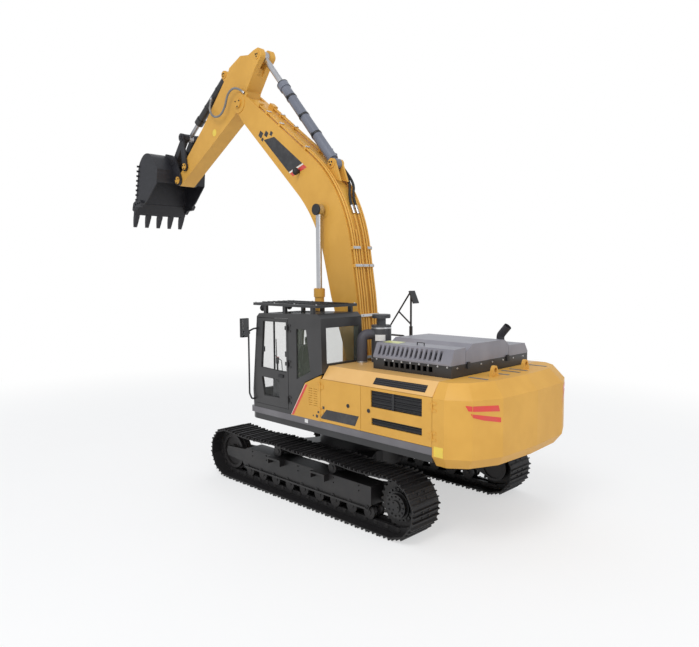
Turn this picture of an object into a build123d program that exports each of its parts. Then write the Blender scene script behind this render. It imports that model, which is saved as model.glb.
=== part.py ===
"""Crawler excavator of the 37 tonne class, with a 6.3 m boom, a 2.8 m arm and a 1.9 cubic metre bucket.

X runs forward, Y to the operator's left, Z up, all in millimetres. Every size is written in
machine coordinates, whose X is zero on the swing axis, and save() moves each node into the
part's frame, whose origin lies on the ground under the middle of the parked machine.
"""
from build123d import *
import os
from math import atan2, cos, degrees, hypot, pi, radians, sin, sqrt, tan

# ---- overall -------------------------------------------------------------------------------
SWING_X = -1870.0          # the swing axis in the part's frame
GAP = 0.3                  # between seated pieces of different bodies
SIDE_GAP = 6.0             # between swinging pieces, side to side
BODY_HALF = 1490.0         # half width of the upper structure
SILL_TOP = 1460.0
SILL_LOW = 1360.0
DECK_LOW = 1250.0
DECK_TOP = 1350.0
HOUSE_TOP = 2340.0         # top of the yellow covers
SHOULDER_Z = 2155.0        # where the covers' side turns into the sloped shoulder
SHOULDER_Y = 1340.0        # where the shoulder meets the top
SHEET = 25.0               # thickness of covers and doors
SEAM = 6.0                 # gap round a door or a lid

# ---- undercarriage -------------------------------------------------------------------------
GAUGE_HALF = 1295.0        # track centre line from the machine's centre line
AXLE_HALF = 2035.0         # idler ahead of and sprocket behind the swing axis
SHOE_WIDTH = 600.0
SHOES = 48
PITCH_RADIUS = 366.0       # of the chain's pins round sprocket and idler
SHOE_BASE = 66.0           # shoe plate's outer face above the pin line
SHOE_PLATE = 14.0
GROUSER = 36.0
RAIL_DROP = 31.0           # rail's running face inside the pin line
RAIL_IN = 45.0             # rail from RAIL_IN to RAIL_OUT each side of the chain's middle
RAIL_OUT = 100.0
TRACK_SAG = 34.0
TRACK_FRAME_HALF = 165.0
AXLE_Z = PITCH_RADIUS + SHOE_BASE + GROUSER
ROLLER_RADIUS = 92.0
ROLLER_XS = [-1480 + 370 * i for i in range(9)]
AXLE_END = 130.0           # half length of the rollers' axles
STEP_XS = [-480.0, 620.0]
STEP_REACH = 105.0
CARRIER_XS = [-AXLE_HALF / 3, AXLE_HALF / 3]     # where the upper run has no sag
RING_RADIUS = 690.0
CARBODY_TOP = 1020.0
CARBODY_LOW = 500.0
RING_TOP = DECK_LOW - 60

# ---- boom, arm, bucket: pins as (x, z) in machine coordinates ------------------------------
FOOT = (-90.0, 1950.0)
BOOM_TIP = (3250.0, 7303.0)
BUCKET_PIN = (5740.0, 5990.0)
BOOM_HALF = 245.0
ARM_HALF = 185.0
PIN = 60.0
BOOM_CYL_BASE = (730.0, 1460.0)
BOOM_CYL_EYE = (735.0, 4945.0)
BOOM_CYL_Y = 352.0
BOOM_CYL_RADIUS = 86.0
BOOM_ROD_RADIUS = 52.0
BOOM_GLAND = 2060.0        # from base pin to gland face
ARM_CYL_BASE = (640.0, 5790.0)
ARM_CYL_EYE = (2696.0, 8155.0)
ARM_CYL_RADIUS = 98.0
ARM_ROD_RADIUS = 60.0
ARM_GLAND = 2272.0
BUCKET_CYL_BASE = (3965.0, 8055.0)
LINK_PIN = (5556.0, 6958.0)        # rocker, link and bucket cylinder meet here
ROCKER_PIN = (5445.0, 6275.0)
EAR_PIN = (5974.0, 6463.0)         # link to bucket
BUCKET_CYL_RADIUS = 88.0
BUCKET_ROD_RADIUS = 50.0
BUCKET_GLAND = 1445.0
TOOTH_REACH = 1764.0       # bucket pin to tooth tip
TOOTH_ANGLE = -36.1        # of that line from forward, degrees
BUCKET_WALL = 28.0

SIDE = Plane.XZ            # local x is forward and local y is up


def aimed(origin, towards):
    """Side plane whose local x runs from one pin towards another."""
    run = Vector(towards[0] - origin[0], 0, towards[1] - origin[1])
    return Plane(origin=(origin[0], 0, origin[1]), x_dir=run, z_dir=(0, -1, 0))


def span(a, b):
    return hypot(b[0] - a[0], b[1] - a[1])


def prism(outline, low_y, high_y, plane=SIDE, radius=0):
    """Outline in a side plane, with rounded corners, as a solid between two widths."""
    wire = FilletPolyline(*outline, radius=radius, close=True)
    face = make_face((plane.offset(-low_y) * wire).edges())
    return extrude(face, amount=high_y - low_y, dir=(0, 1, 0))


def disc(centre, radius, low_y, high_y, plane=SIDE):
    face = plane.offset(-low_y) * Pos(*centre) * Circle(radius)
    return extrude(face, amount=high_y - low_y, dir=(0, 1, 0))


def ring(centre, outer, inner, low_y, high_y, plane=SIDE):
    return disc(centre, outer, low_y, high_y, plane) - disc(centre, inner, low_y, high_y, plane)


def block(x, y, z):
    """Box from three (low, high) ranges."""
    spans = [sorted(span_) for span_ in (x, y, z)]
    size = [high - low for low, high in spans]
    middle = [(high + low) / 2 for low, high in spans]
    return Pos(*middle) * Box(*size)


def plan(outline, low_z, high_z, radius=0):
    wire = FilletPolyline(*outline, radius=radius, close=True)
    face = make_face((Plane.XY.offset(low_z) * wire).edges())
    return extrude(face, amount=high_z - low_z, dir=(0, 0, 1))


def mirrored(solid):
    return mirror(solid, about=Plane.XZ)


def both(solid):
    return solid + mirrored(solid)


def tube(path_points, radius, bend, hollow=0):
    """Round tube along straight runs joined by tangent arcs."""
    path = FilletPolyline(*path_points, radius=bend)
    start = Plane(origin=path @ 0, z_dir=path % 0)
    section = Circle(radius) - Circle(radius - hollow) if hollow else Circle(radius)
    return sweep(start * section, path=path)


def bar(start, end, radius):
    """Straight round bar between two points."""
    run = Vector(*end) - Vector(*start)
    return extrude(Plane(origin=start, z_dir=run) * Circle(radius), amount=run.length)


def gathered(pieces):
    """Separate solids as one node."""
    return Compound([solid for piece in pieces for solid in piece.solids()])


def save(name, shape):
    shape = Pos(SWING_X, 0, 0) * shape
    solids = shape.solids()
    whole = solids[0] if len(solids) == 1 else Compound(solids)
    whole.label = name
    export_step(whole, f"parts/{name}.step")


# ---- undercarriage -------------------------------------------------------------------------

def pin_line(distance):
    """Point and outward direction on the closed pin line, by distance from the rear bottom."""
    straight = 2 * AXLE_HALF
    arc = pi * PITCH_RADIUS
    distance = distance % (2 * straight + 2 * arc)
    if distance < straight:
        return -AXLE_HALF + distance, AXLE_Z - PITCH_RADIUS
    distance -= straight
    if distance < arc:
        turn = distance / PITCH_RADIUS
        return AXLE_HALF + PITCH_RADIUS * sin(turn), AXLE_Z - PITCH_RADIUS * cos(turn)
    distance -= arc
    if distance < straight:
        spans = len(CARRIER_XS) + 1
        sag = TRACK_SAG * (1 - cos(2 * pi * spans * distance / straight)) / 2
        return AXLE_HALF - distance, AXLE_Z + PITCH_RADIUS - sag
    turn = (distance - straight) / PITCH_RADIUS
    return -AXLE_HALF - PITCH_RADIUS * sin(turn), AXLE_Z + PITCH_RADIUS * cos(turn)


# grouser bars of one shoe, as shares of the pitch: foot, tip start, tip end, foot, height share
GROUSER_BARS = [
    (-0.47, -0.44, -0.36, -0.32, 1.0),
    (-0.07, -0.035, 0.035, 0.07, 0.85),
    (0.32, 0.36, 0.42, 0.45, 0.85),
]


def track_outlines():
    """Outer outline with shoes and grousers, and the rail's and plate's inner outlines."""
    length = 4 * AXLE_HALF + 2 * pi * PITCH_RADIUS
    pins = [pin_line(length * i / SHOES) for i in range(SHOES)]
    outer, plate, rail = [], [], []
    for i, (x, z) in enumerate(pins):
        next_x, next_z = pins[(i + 1) % SHOES]
        pitch = hypot(next_x - x, next_z - z)
        along = ((next_x - x) / pitch, (next_z - z) / pitch)
        out = (along[1], -along[0])
        middle = ((x + next_x) / 2, (z + next_z) / 2)

        def local(share, height):
            return (middle[0] + along[0] * share * pitch + out[0] * height,
                    middle[1] + along[1] * share * pitch + out[1] * height)

        for foot, tip, tip_end, foot_end, share in GROUSER_BARS:
            outer.append(local(foot, SHOE_BASE))
            outer.append(local(tip, SHOE_BASE + GROUSER * share))
            outer.append(local(tip_end, SHOE_BASE + GROUSER * share))
            outer.append(local(foot_end, SHOE_BASE))
    for i, (x, z) in enumerate(pins):
        before, after = pins[i - 1], pins[(i + 1) % SHOES]
        along = (after[0] - before[0], after[1] - before[1])
        size = hypot(*along)
        out = (along[1] / size, -along[0] / size)
        plate.append((x + out[0] * (SHOE_BASE - SHOE_PLATE), z + out[1] * (SHOE_BASE - SHOE_PLATE)))
        rail.append((x - out[0] * RAIL_DROP, z - out[1] * RAIL_DROP))
    return outer, plate, rail


def polygon_face(points, plane):
    return make_face((plane * Polyline(*points, close=True)).edges())


def track():
    outer, plate, rail = track_outlines()
    half = SHOE_WIDTH / 2
    plane = SIDE.offset(half)
    band = polygon_face(outer, plane) - polygon_face(plate, plane)
    belt = extrude(band, amount=SHOE_WIDTH, dir=(0, 1, 0))
    for low in (-RAIL_OUT, RAIL_IN):
        plane = SIDE.offset(-low)
        strip = polygon_face(plate, plane) - polygon_face(rail, plane)
        belt += extrude(strip, amount=RAIL_OUT - RAIL_IN, dir=(0, 1, 0))
    return belt


def wheel_seat():
    """Radius that just fits inside the chain's rails on a wheel, where each link is a chord."""
    pitch = (4 * AXLE_HALF + 2 * pi * PITCH_RADIUS) / SHOES
    return (PITCH_RADIUS - RAIL_DROP) * cos(pitch / (2 * PITCH_RADIUS)) - 4 * GAP


def idler():
    seat = wheel_seat()
    axle = (AXLE_HALF, AXLE_Z)
    wheel = disc(axle, seat, -RAIL_OUT, RAIL_OUT) + disc(axle, seat + 34, -RAIL_IN + 8, RAIL_IN - 8)
    for low in (-RAIL_OUT, 60):
        wheel -= ring(axle, seat - 55, 120, low, low + 40)
    return wheel - disc(axle, 50, -RAIL_OUT, RAIL_OUT)


def sprocket():
    axle = (-AXLE_HALF, AXLE_Z)
    root = PITCH_RADIUS - 22
    wheel = disc(axle, root, -32, 32)
    teeth = 23 if SHOES > 40 else 19
    tooth = [(root - 30, -38), (PITCH_RADIUS + 4, -22), (PITCH_RADIUS + 22, -9),
             (PITCH_RADIUS + 22, 9), (PITCH_RADIUS + 4, 22), (root - 30, 38)]
    for i in range(teeth):
        plane = Plane(origin=(axle[0], 0, axle[1]),
                      x_dir=(cos(2 * pi * i / teeth), 0, sin(2 * pi * i / teeth)), z_dir=(0, -1, 0))
        wheel += prism(tooth, -32, 32, plane)
    return wheel - disc(axle, 205, -32, 32)


def final_drive():
    """Motor housing through the sprocket, with its round cover, centred on the track's middle."""
    axle = (-AXLE_HALF, AXLE_Z)
    drive = disc(axle, 204, -150, 110) + disc(axle, 245, 33, 75)
    drive += disc(axle, 175, 110, 165) + disc(axle, 90, 165, 185)
    return drive


def roller(x, z, radius):
    wheel = disc((x, z), radius, -RAIL_OUT - 6, -RAIL_IN + 4)
    wheel += disc((x, z), radius, RAIL_IN - 4, RAIL_OUT + 6)
    wheel += disc((x, z), radius + 16, -RAIL_OUT - 20, -RAIL_OUT - 5)
    wheel += disc((x, z), radius + 16, RAIL_OUT + 5, RAIL_OUT + 20)
    wheel += disc((x, z), 40, -AXLE_END, AXLE_END)
    return wheel


def rollers():
    low_z = AXLE_Z - PITCH_RADIUS + RAIL_DROP + ROLLER_RADIUS + GAP
    group = [roller(x, low_z, ROLLER_RADIUS) for x in ROLLER_XS]
    carrier = 70.0
    high_z = AXLE_Z + PITCH_RADIUS - RAIL_DROP - carrier - 3
    group += [roller(x, high_z, carrier) for x in CARRIER_XS]
    return group


def track_frame():
    low, high = 265.0, 640.0
    section = [(-1560, low + 90), (-1560, high), (1500, high), (1640, high - 90), (1640, low + 60),
               (1500, low), (-1480, low)]
    half = TRACK_FRAME_HALF
    frame = prism(section, -half, half)
    roller_z = AXLE_Z - PITCH_RADIUS + RAIL_DROP + ROLLER_RADIUS
    tunnel = 132.0
    frame -= block((-1700, 1700), (-tunnel, tunnel), (0, roller_z + ROLLER_RADIUS + 30))
    for x in ROLLER_XS:
        frame -= block((x + 120, x + 250), (-half, half), (0, roller_z - 30))
    for side in (-1, 1):
        cheek = sorted((side * (RAIL_OUT + 12), side * (half - 10)))
        arm = prism([(1500, 350), (1500, 600), (AXLE_HALF + 90, 560), (AXLE_HALF + 130, AXLE_Z),
                     (AXLE_HALF + 90, 380)], cheek[0], cheek[1])
        frame += arm
    frame += disc((AXLE_HALF, AXLE_Z), 49, -(RAIL_OUT + 12), RAIL_OUT + 12)
    boss = 245.0
    rear = prism([(-1500, 360), (-1500, 640), (-AXLE_HALF, AXLE_Z + boss), (-AXLE_HALF, AXLE_Z - boss),
                  (-1700, 345)], -half - 5, -110)
    rear += disc((-AXLE_HALF, AXLE_Z), boss, -half - 5, -110)
    frame += rear
    frame -= disc((-AXLE_HALF, AXLE_Z), 204 + GAP, -half - 5, half)
    for x in CARRIER_XS:
        frame += block((x - 60, x + 60), (-half, -AXLE_END - GAP), (high - 60, AXLE_Z + PITCH_RADIUS - 60))
    frame += block((-1480, 1560), (half - 5, half + 32), (low + 20, low + 46))
    for x in STEP_XS:
        step = block((x - 170, x + 170), (half, half + STEP_REACH), (high - 30, high))
        for end in (x - 170, x + 145):
            step += block((end, end + 25), (half, half + STEP_REACH), (high - 110, high))
        frame += step
    return frame


def undercarriage():
    """Everything below the swing ring; the pieces that repeat share a node."""
    belt = track()
    left = Pos(0, GAUGE_HALF, 0)
    right = Pos(0, -GAUGE_HALF, 0)
    save("track_left", left * belt)
    save("track_right", right * belt)
    wheel = idler()
    save("idlers", gathered([left * wheel, right * wheel]))
    gear = sprocket()
    save("sprockets", gathered([left * gear, right * gear]))
    drive = final_drive()
    save("final_drives", gathered([left * drive, right * mirrored(drive)]))
    group = rollers()
    save("rollers", gathered([side * piece for side in (left, right) for piece in group]))
    frame = track_frame()
    save("track_frames", gathered([left * frame, right * mirrored(frame)]))
    save("car_body", car_body())
    circle = Circle(RING_RADIUS) - Circle(RING_RADIUS - 110)
    save("swing_ring", extrude(Plane.XY.offset(CARBODY_TOP) * circle, amount=RING_TOP - GAP - CARBODY_TOP))


def car_body():
    """Box under the swing ring with four splayed legs that land on the track frames."""
    inner = GAUGE_HALF - TRACK_FRAME_HALF
    legs = [(1130, inner), (650, inner), (420, 640), (-420, 640), (-650, inner), (-1130, inner),
            (-720, 420), (-720, -420), (-1130, -inner), (-650, -inner), (-420, -640), (420, -640),
            (650, -inner), (1130, -inner), (720, -420), (720, 420)]
    body = plan(legs, CARBODY_LOW + 60, 790)
    body += extrude(Plane.XY.offset(CARBODY_LOW) * Circle(760), amount=CARBODY_TOP - CARBODY_LOW)
    return body - extrude(Plane.XY.offset(CARBODY_LOW) * Circle(330), amount=CARBODY_TOP)


# ---- upper structure -----------------------------------------------------------------------
CAB_IN = 560.0             # cab's inner side
CAB_WALL = 45.0
CAB_BASE = SILL_TOP + GAP
CAB_REAR = -545.0
CW_FRONT = -2705.0
LINE_1 = -500.0            # seam between the fixed cover and the front service door
LINE_2 = -1380.0           # seam between the two service doors
HOOD_SIDE = 1040.0
HOOD_FRONT = -1230.0
HOOD_REAR = -2690.0
HOOD_STEP = 2511.0         # top of the black hood base
HOOD_LOW = HOUSE_TOP - 200
HOOD_TOP = 2735.0
LID_LEFT = 690.0
LID_RIGHT = -470.0
FOOT_PLATE_IN = BOOM_HALF + SIDE_GAP
FOOT_PLATE_OUT = FOOT_PLATE_IN + 38
CYL_EYE_HALF = 50.0
LUG_IN = BOOM_CYL_Y + CYL_EYE_HALF + SIDE_GAP
STRIPE = [(221.0, SILL_TOP), (-140.0, 2034.0), (-549.0, 2213.0)]   # rear edge of the cab's side


HINGE_RADIUS = 11.0
HINGE_OUT = 12.0           # pivot line outside the covers
PIVOT_Y = BODY_HALF + HINGE_OUT
FRONT_PIVOT_X = LINE_1 - SEAM
REAR_PIVOT_X = CW_FRONT + SEAM / 2
HINGE_ZS = [1620.0, 2020.0]


def hinge_leaf(x, towards, zs, fixed, side=1, face_y=BODY_HALF, pivot_y=PIVOT_Y, radius=HINGE_RADIUS):
    """Knuckles on a vertical pivot line with their straps on the surface; fixed ones hold the moving one's ends."""
    leaf = None
    for z in zs:
        spans = [(z + 32 + GAP, z + 62), (z - 62, z - 32 - GAP)] if fixed else [(z - 32, z + 32)]
        for low, high in spans:
            knuckle = Pos(x, side * pivot_y, (low + high) / 2) * Cylinder(radius, high - low)
            knuckle += block((x, x + towards * 70), (side * (face_y - 2), side * (face_y + 9)), (low, high))
            leaf = knuckle if leaf is None else leaf + knuckle
    return leaf


def house_frame():
    """Posts, rails and cross beams that carry the covers and the hood."""
    rail_y = (SHOULDER_Y - 85, SHOULDER_Y - 25)
    under = HOUSE_TOP - SHEET
    frame = None
    for x in (HOOD_REAR, HOOD_FRONT - 60):
        beam = block((x, x + 60), (-rail_y[1], rail_y[1]), (HOOD_LOW - 60, HOOD_LOW))
        frame = beam if frame is None else frame + beam
        for side in (-1, 1):
            frame += block((x, x + 60), (side * rail_y[0], side * rail_y[1]), (DECK_TOP, under))
    for side, front in ((1, CAB_REAR - SEAM - 10), (-1, TANK_REAR - SEAM - 10)):
        frame += block((front - 60, front), (side * rail_y[0], side * rail_y[1]), (DECK_TOP, under))
        frame += block((HOOD_REAR, front), (side * rail_y[0], side * rail_y[1]), (under - 60, under))
    return frame


def main_deck():
    deck = plan([(1290, 520), (1290, 1440), (1200, BODY_HALF - 12), (CW_FRONT, BODY_HALF - 12),
                 (CW_FRONT, -BODY_HALF + 12), (1150, -BODY_HALF + 12), (1240, -1400), (1240, -520),
                 (860, -470), (860, 470)], DECK_LOW, DECK_TOP)
    deck += plan([(860, 470), (860, -470), (-2700, -560), (-2700, 560)], RING_TOP, DECK_LOW)
    deck += extrude(Plane.XY.offset(RING_TOP) * Circle(RING_RADIUS + 40), amount=DECK_LOW - RING_TOP)
    base_x, base_z = BOOM_CYL_BASE
    outline = [(base_x + 80, DECK_LOW), (base_x + 88, base_z - 30), (base_x + 60, base_z + 66),
               (base_x, base_z + 90), (base_x - 95, base_z + 75), (260, 1720), (110, 2010),
               (FOOT[0] + 60, FOOT[1] + 175), (FOOT[0] - 120, FOOT[1] + 165), (-420, 1700), (-1300, 1560),
               (-1300, DECK_TOP - 20)]
    cheek = prism(outline, FOOT_PLATE_IN, FOOT_PLATE_OUT)
    lug = prism([(base_x - 130, DECK_TOP - 10), (base_x - 70, base_z + 55), (base_x, base_z + 88),
                 (base_x + 60, base_z + 66), (base_x + 88, base_z - 30), (base_x + 80, DECK_TOP - 10)],
                LUG_IN, LUG_IN + 34)
    deck += both(cheek) + both(lug)
    deck += both(disc(BOOM_CYL_BASE, 45, FOOT_PLATE_OUT - 5, LUG_IN + 34 + 14))
    deck += disc(FOOT, PIN, -FOOT_PLATE_OUT - 24, FOOT_PLATE_OUT + 24)
    deck += both(disc(FOOT, PIN + 45, FOOT_PLATE_OUT - 5, FOOT_PLATE_OUT + 14))
    return deck


def sill(side):
    """Grey strip along the deck's edge, its front end drawn in to a point."""
    outline = [(1346, BODY_HALF - 55), (1290, BODY_HALF), (CW_FRONT + 4, BODY_HALF),
               (CW_FRONT + 4, BODY_HALF - 11), (1210, BODY_HALF - 11), (1295, BODY_HALF - 60)]
    strip = plan([(x, y) for x, y in outline], SILL_LOW, SILL_TOP)
    strip += block((CW_FRONT + 4, 1180), (BODY_HALF - 120, BODY_HALF - 11), (DECK_TOP, SILL_TOP))
    return strip if side > 0 else mirrored(strip)


def cover_section(low_z=SILL_TOP, drop=0.0):
    """Half of the covers' cross section, as (y, z), out to the shoulder and the top."""
    return [(BODY_HALF - drop, low_z), (BODY_HALF - drop, SHOULDER_Z - drop * 0.4),
            (SHOULDER_Y - drop * 0.6, HOUSE_TOP - drop)]


def skin(start_x, end_x, inner_y, low_z=SILL_TOP, top=True):
    """Sheet that follows the side, the shoulder and, if asked, the top in to inner_y."""
    outer = cover_section(low_z)
    inner = cover_section(low_z, SHEET)
    if top:
        points = outer + [(inner_y, HOUSE_TOP), (inner_y, HOUSE_TOP - SHEET)] + inner[::-1]
    else:
        points = outer + inner[::-1]
    wire = Polyline(*points, close=True)
    face = make_face((Plane.YZ.offset(min(start_x, end_x)) * wire).edges())
    return extrude(face, amount=abs(end_x - start_x), dir=(1, 0, 0))


def upper_covers():
    top_in = HOOD_SIDE + SEAM
    fixed = skin(LINE_1 - SEAM / 2, 221, CAB_IN - 60)
    front_cut = prism([(400, SILL_TOP - 10), (STRIPE[0][0], SILL_TOP - 10), STRIPE[0], STRIPE[1], STRIPE[2],
                       (-549, 2500), (400, 2500)], 0, 2000)
    fixed -= front_cut
    fixed += block((LINE_1 - SEAM / 2, LINE_1 - SEAM / 2 + 40), (BODY_HALF - 200, BODY_HALF - SHEET),
                   (SILL_TOP, SHOULDER_Z - 60))
    for i in range(16):
        x, z = LOUVRE_FRONT - LOUVRE_PITCH * (i // 8), LOUVRE_LOW + LOUVRE_STEP * (i % 8)
        fixed -= Pos(x, BODY_HALF - 12, z) * Rot(-35, 0, 0) * Box(LOUVRE_PITCH - 28, 60, 9)
    fixed += hinge_leaf(FRONT_PIVOT_X, 1, HINGE_ZS, True)
    save("left_fixed_cover", fixed)
    door_low = SILL_TOP + SEAM
    left_door = block_skin(LINE_2 + SEAM / 2, LINE_1 - SEAM / 2 - SEAM, door_low)
    save("left_front_door", left_door + hinge_leaf(FRONT_PIVOT_X, -1, HINGE_ZS, False))
    rear_door = block_skin(CW_FRONT + SEAM, LINE_2 - SEAM / 2, door_low)
    for low_z, high_z, low_x, high_x in DOOR_SLOTS:
        rear_door -= block((low_x, high_x), (BODY_HALF - SHEET - 5, BODY_HALF + 5), (low_z, high_z))
    leaf = hinge_leaf(REAR_PIVOT_X, 1, HINGE_ZS, False)
    save("left_rear_door", rear_door + leaf)
    save("right_rear_door", mirrored(block_skin(CW_FRONT + SEAM, TANK_REAR - SEAM, door_low) + leaf))
    left = shoulder_strip(CW_FRONT + 2, CAB_REAR - SEAM, top_in)
    right = mirrored(shoulder_strip(CW_FRONT + 2, TANK_REAR - SEAM, top_in))
    save("top_covers", gathered([left + front_deck(), right]))


DOOR_TOP = SHOULDER_Z - 12
LOUVRE_FRONT = -268.0
LOUVRE_PITCH = 120.0
LOUVRE_LOW = 1705.0
LOUVRE_STEP = 38.0
DOOR_SLOTS = [(1854, 2102, -2531, -1586), (1591, 1697, -2533, -1600)]   # low z, high z, rear x, front x
SHOULDER_SLOT = (-2560, -1605)
TANK_FRONT = 470.0
TANK_REAR = -760.0


def block_skin(rear_x, front_x, low_z):
    """Flat service door in the side, with a turned-in edge all round."""
    door = block((rear_x, front_x), (BODY_HALF - SHEET, BODY_HALF), (low_z, DOOR_TOP))
    rim = block((rear_x, front_x), (BODY_HALF - SHEET - 35, BODY_HALF - SHEET), (low_z, DOOR_TOP))
    rim -= block((rear_x + 30, front_x - 30), (0, BODY_HALF), (low_z + 30, DOOR_TOP - 30))
    return door + rim


def shoulder_strip(rear_x, front_x, inner_y):
    points = [(BODY_HALF, DOOR_TOP + SEAM), (BODY_HALF, SHOULDER_Z), (SHOULDER_Y, HOUSE_TOP), (inner_y, HOUSE_TOP),
              (inner_y, HOUSE_TOP - SHEET), (SHOULDER_Y - 15, HOUSE_TOP - SHEET),
              (BODY_HALF - SHEET, SHOULDER_Z - 10), (BODY_HALF - SHEET, DOOR_TOP + SEAM)]
    wire = Polyline(*points, close=True)
    face = make_face((Plane.YZ.offset(rear_x) * wire).edges())
    return extrude(face, amount=front_x - rear_x, dir=(1, 0, 0))


def front_deck():
    """Yellow top between the cab and the hood, open over the swing centre."""
    front, rear = CAB_REAR - SEAM, HOOD_FRONT + SEAM
    return block((rear, front), (CAB_IN - 65, HOOD_SIDE + SEAM), (HOUSE_TOP - SHEET, HOUSE_TOP))


# counterweight outline as (x, y) on its left half, from the front to the middle of the rear:
# full outline, then how far the top and the bottom outline stand in along x and y
CW_TOP_Z = HOUSE_TOP
CW_EDGE_HIGH = 2135.0
CW_EDGE_LOW = 1340.0
CW_LOW = 1195.0
CW_PLAN = [(CW_FRONT, BODY_HALF), (-2900, BODY_HALF), (-3210, 1290), (-3400, 850), (-3445, 0)]
CW_TOP_PLAN = [(CW_FRONT, SHOULDER_Y), (-2860, SHOULDER_Y), (-3060, 1180), (-3215, 770), (-3255, 0)]
CW_LOW_PLAN = [(CW_FRONT, 1390), (-2880, 1390), (-3110, 1220), (-3300, 790), (-3345, 0)]


def plan_face(half, z):
    points = half + [(x, -y) for x, y in half[-2::-1]]
    return make_face((Plane.XY.offset(z) * Polyline(*points, close=True)).edges())


def counterweight():
    weight = extrude(plan_face(CW_PLAN, CW_EDGE_LOW), amount=CW_EDGE_HIGH - CW_EDGE_LOW)
    weight += loft([plan_face(CW_PLAN, CW_EDGE_HIGH), plan_face(CW_TOP_PLAN, CW_TOP_Z)], ruled=True)
    weight += loft([plan_face(CW_LOW_PLAN, CW_LOW), plan_face(CW_PLAN, CW_EDGE_LOW)], ruled=True)
    eye = [(-85, -10), (-62, 95), (-30, 150), (30, 150), (62, 95), (85, -10)]
    for y in (-430, 430):
        plane = Plane(origin=(EYE_X, y, CW_TOP_Z), x_dir=(0, 1, 0), z_dir=(1, 0, 0))
        plate = extrude(make_face((plane * FilletPolyline(*eye, radius=[0, 0, 40, 40, 0, 0], close=True)).edges()),
                        amount=EYE_THICK / 2, both=True)
        hole = extrude(plane * Pos(0, 88) * Circle(EYE_HOLE), amount=EYE_THICK, both=True)
        weight += plate - hole
    return weight + both(hinge_leaf(REAR_PIVOT_X, -1, HINGE_ZS, True))


EYE_X = -2990.0
EYE_THICK = 50.0
EYE_HOLE = 34.0


def hood():
    """Black hood base with three grey sections: radiator cover, centre lid and muffler cover."""
    base = block((HOOD_REAR, HOOD_FRONT), (-HOOD_SIDE, HOOD_SIDE), (HOOD_LOW, HOOD_STEP))
    base -= block((HOOD_REAR + 30, HOOD_FRONT - 30), (-HOOD_SIDE + 30, HOOD_SIDE - 30),
                  (HOOD_LOW - 10, HOOD_STEP + 10))
    for i in range(9):
        x = HOOD_FRONT - 260 - 105 * i
        base -= block((x - 35, x + 35), (HOOD_SIDE - 40, HOOD_SIDE + 10), (HOUSE_TOP + 55, HOOD_STEP - 40))
    save("hood_base", base + lid_hinge(True))
    low = HOOD_STEP + GAP
    left = hood_section([(HOOD_SIDE + 12, low), (HOOD_SIDE + 12, low + 22), (HOOD_SIDE - 75, HOOD_TOP),
                         (LID_LEFT + SEAM / 2, HOOD_TOP + 10), (LID_LEFT + SEAM / 2, low)])
    left -= hood_section([(HOOD_SIDE - 15, low - 1), (HOOD_SIDE - 100, HOOD_TOP - 26),
                          (LID_LEFT + 26, HOOD_TOP - 20), (LID_LEFT + 26, low - 1)], 30)
    for i in range(14):
        x = HOOD_FRONT - 110 - 88 * i
        left -= Pos(x, HOOD_SIDE - 30, low + 120) * Rot(-23, 0, 0) * Box(44, 120, 120)
    save("hood_left_cover", left)
    lid = hood_section([(LID_LEFT - SEAM / 2, low), (LID_LEFT - SEAM / 2, HOOD_TOP - 60), (LID_LEFT - 170, HOOD_TOP + 50),
                        (LID_RIGHT + 120, HOOD_TOP + 40), (LID_RIGHT + SEAM / 2, HOOD_TOP - 40),
                        (LID_RIGHT + SEAM / 2, low)])
    lid -= hood_section([(LID_LEFT - 26, low - 1), (LID_LEFT - 26, HOOD_TOP - 90), (LID_LEFT - 180, HOOD_TOP + 24),
                         (LID_RIGHT + 130, HOOD_TOP + 14), (LID_RIGHT + 26, HOOD_TOP - 70), (LID_RIGHT + 26, low - 1)], 30)
    save("hood_lid", lid + lid_hinge(False))
    right = hood_section([(LID_RIGHT - SEAM / 2, low), (LID_RIGHT - SEAM / 2, HOOD_TOP - 55),
                          (-HOOD_SIDE + 80, HOOD_TOP - 60), (-HOOD_SIDE - 12, low + 30), (-HOOD_SIDE - 12, low)])
    right -= hood_section([(LID_RIGHT - 26, low - 1), (LID_RIGHT - 26, HOOD_TOP - 82),
                           (-HOOD_SIDE + 100, HOOD_TOP - 86), (-HOOD_SIDE + 15, low - 1)], 30)
    right -= Pos(*EXHAUST, HOOD_TOP - 60) * Cylinder(EXHAUST_RADIUS + GAP, 200)
    save("hood_right_cover", right)
    save("exhaust_pipe", exhaust())


LID_PIVOT = (HOOD_FRONT + 14, HOOD_STEP + 16)


def lid_hinge(fixed):
    """Knuckles along the lid's front edge; the fixed ones stand on the hood base."""
    leaf = None
    for y in (LID_LEFT - 230, LID_RIGHT + 230):
        spans = [(y - 75, y - 40 - GAP), (y + 40 + GAP, y + 75)] if fixed else [(y - 40, y + 40)]
        for low, high in spans:
            knuckle = disc(LID_PIVOT, HINGE_RADIUS, low, high)
            if fixed:
                knuckle += block((HOOD_FRONT, LID_PIVOT[0]), (low, high), (HOOD_STEP - 50, LID_PIVOT[1]))
            else:
                knuckle += block((HOOD_FRONT - 6, LID_PIVOT[0]), (low, high), (LID_PIVOT[1] - 7, LID_PIVOT[1] + 7))
            leaf = knuckle if leaf is None else leaf + knuckle
    return leaf


EXHAUST = (-2460.0, -600.0)
EXHAUST_RADIUS = 62.0


def exhaust():
    points = [(EXHAUST[0], EXHAUST[1], HOUSE_TOP + 60), (EXHAUST[0], EXHAUST[1], HOOD_TOP + 75),
              (EXHAUST[0] - 130, EXHAUST[1], HOOD_TOP + 225)]
    return tube(points, EXHAUST_RADIUS, 90, hollow=8)


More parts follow.
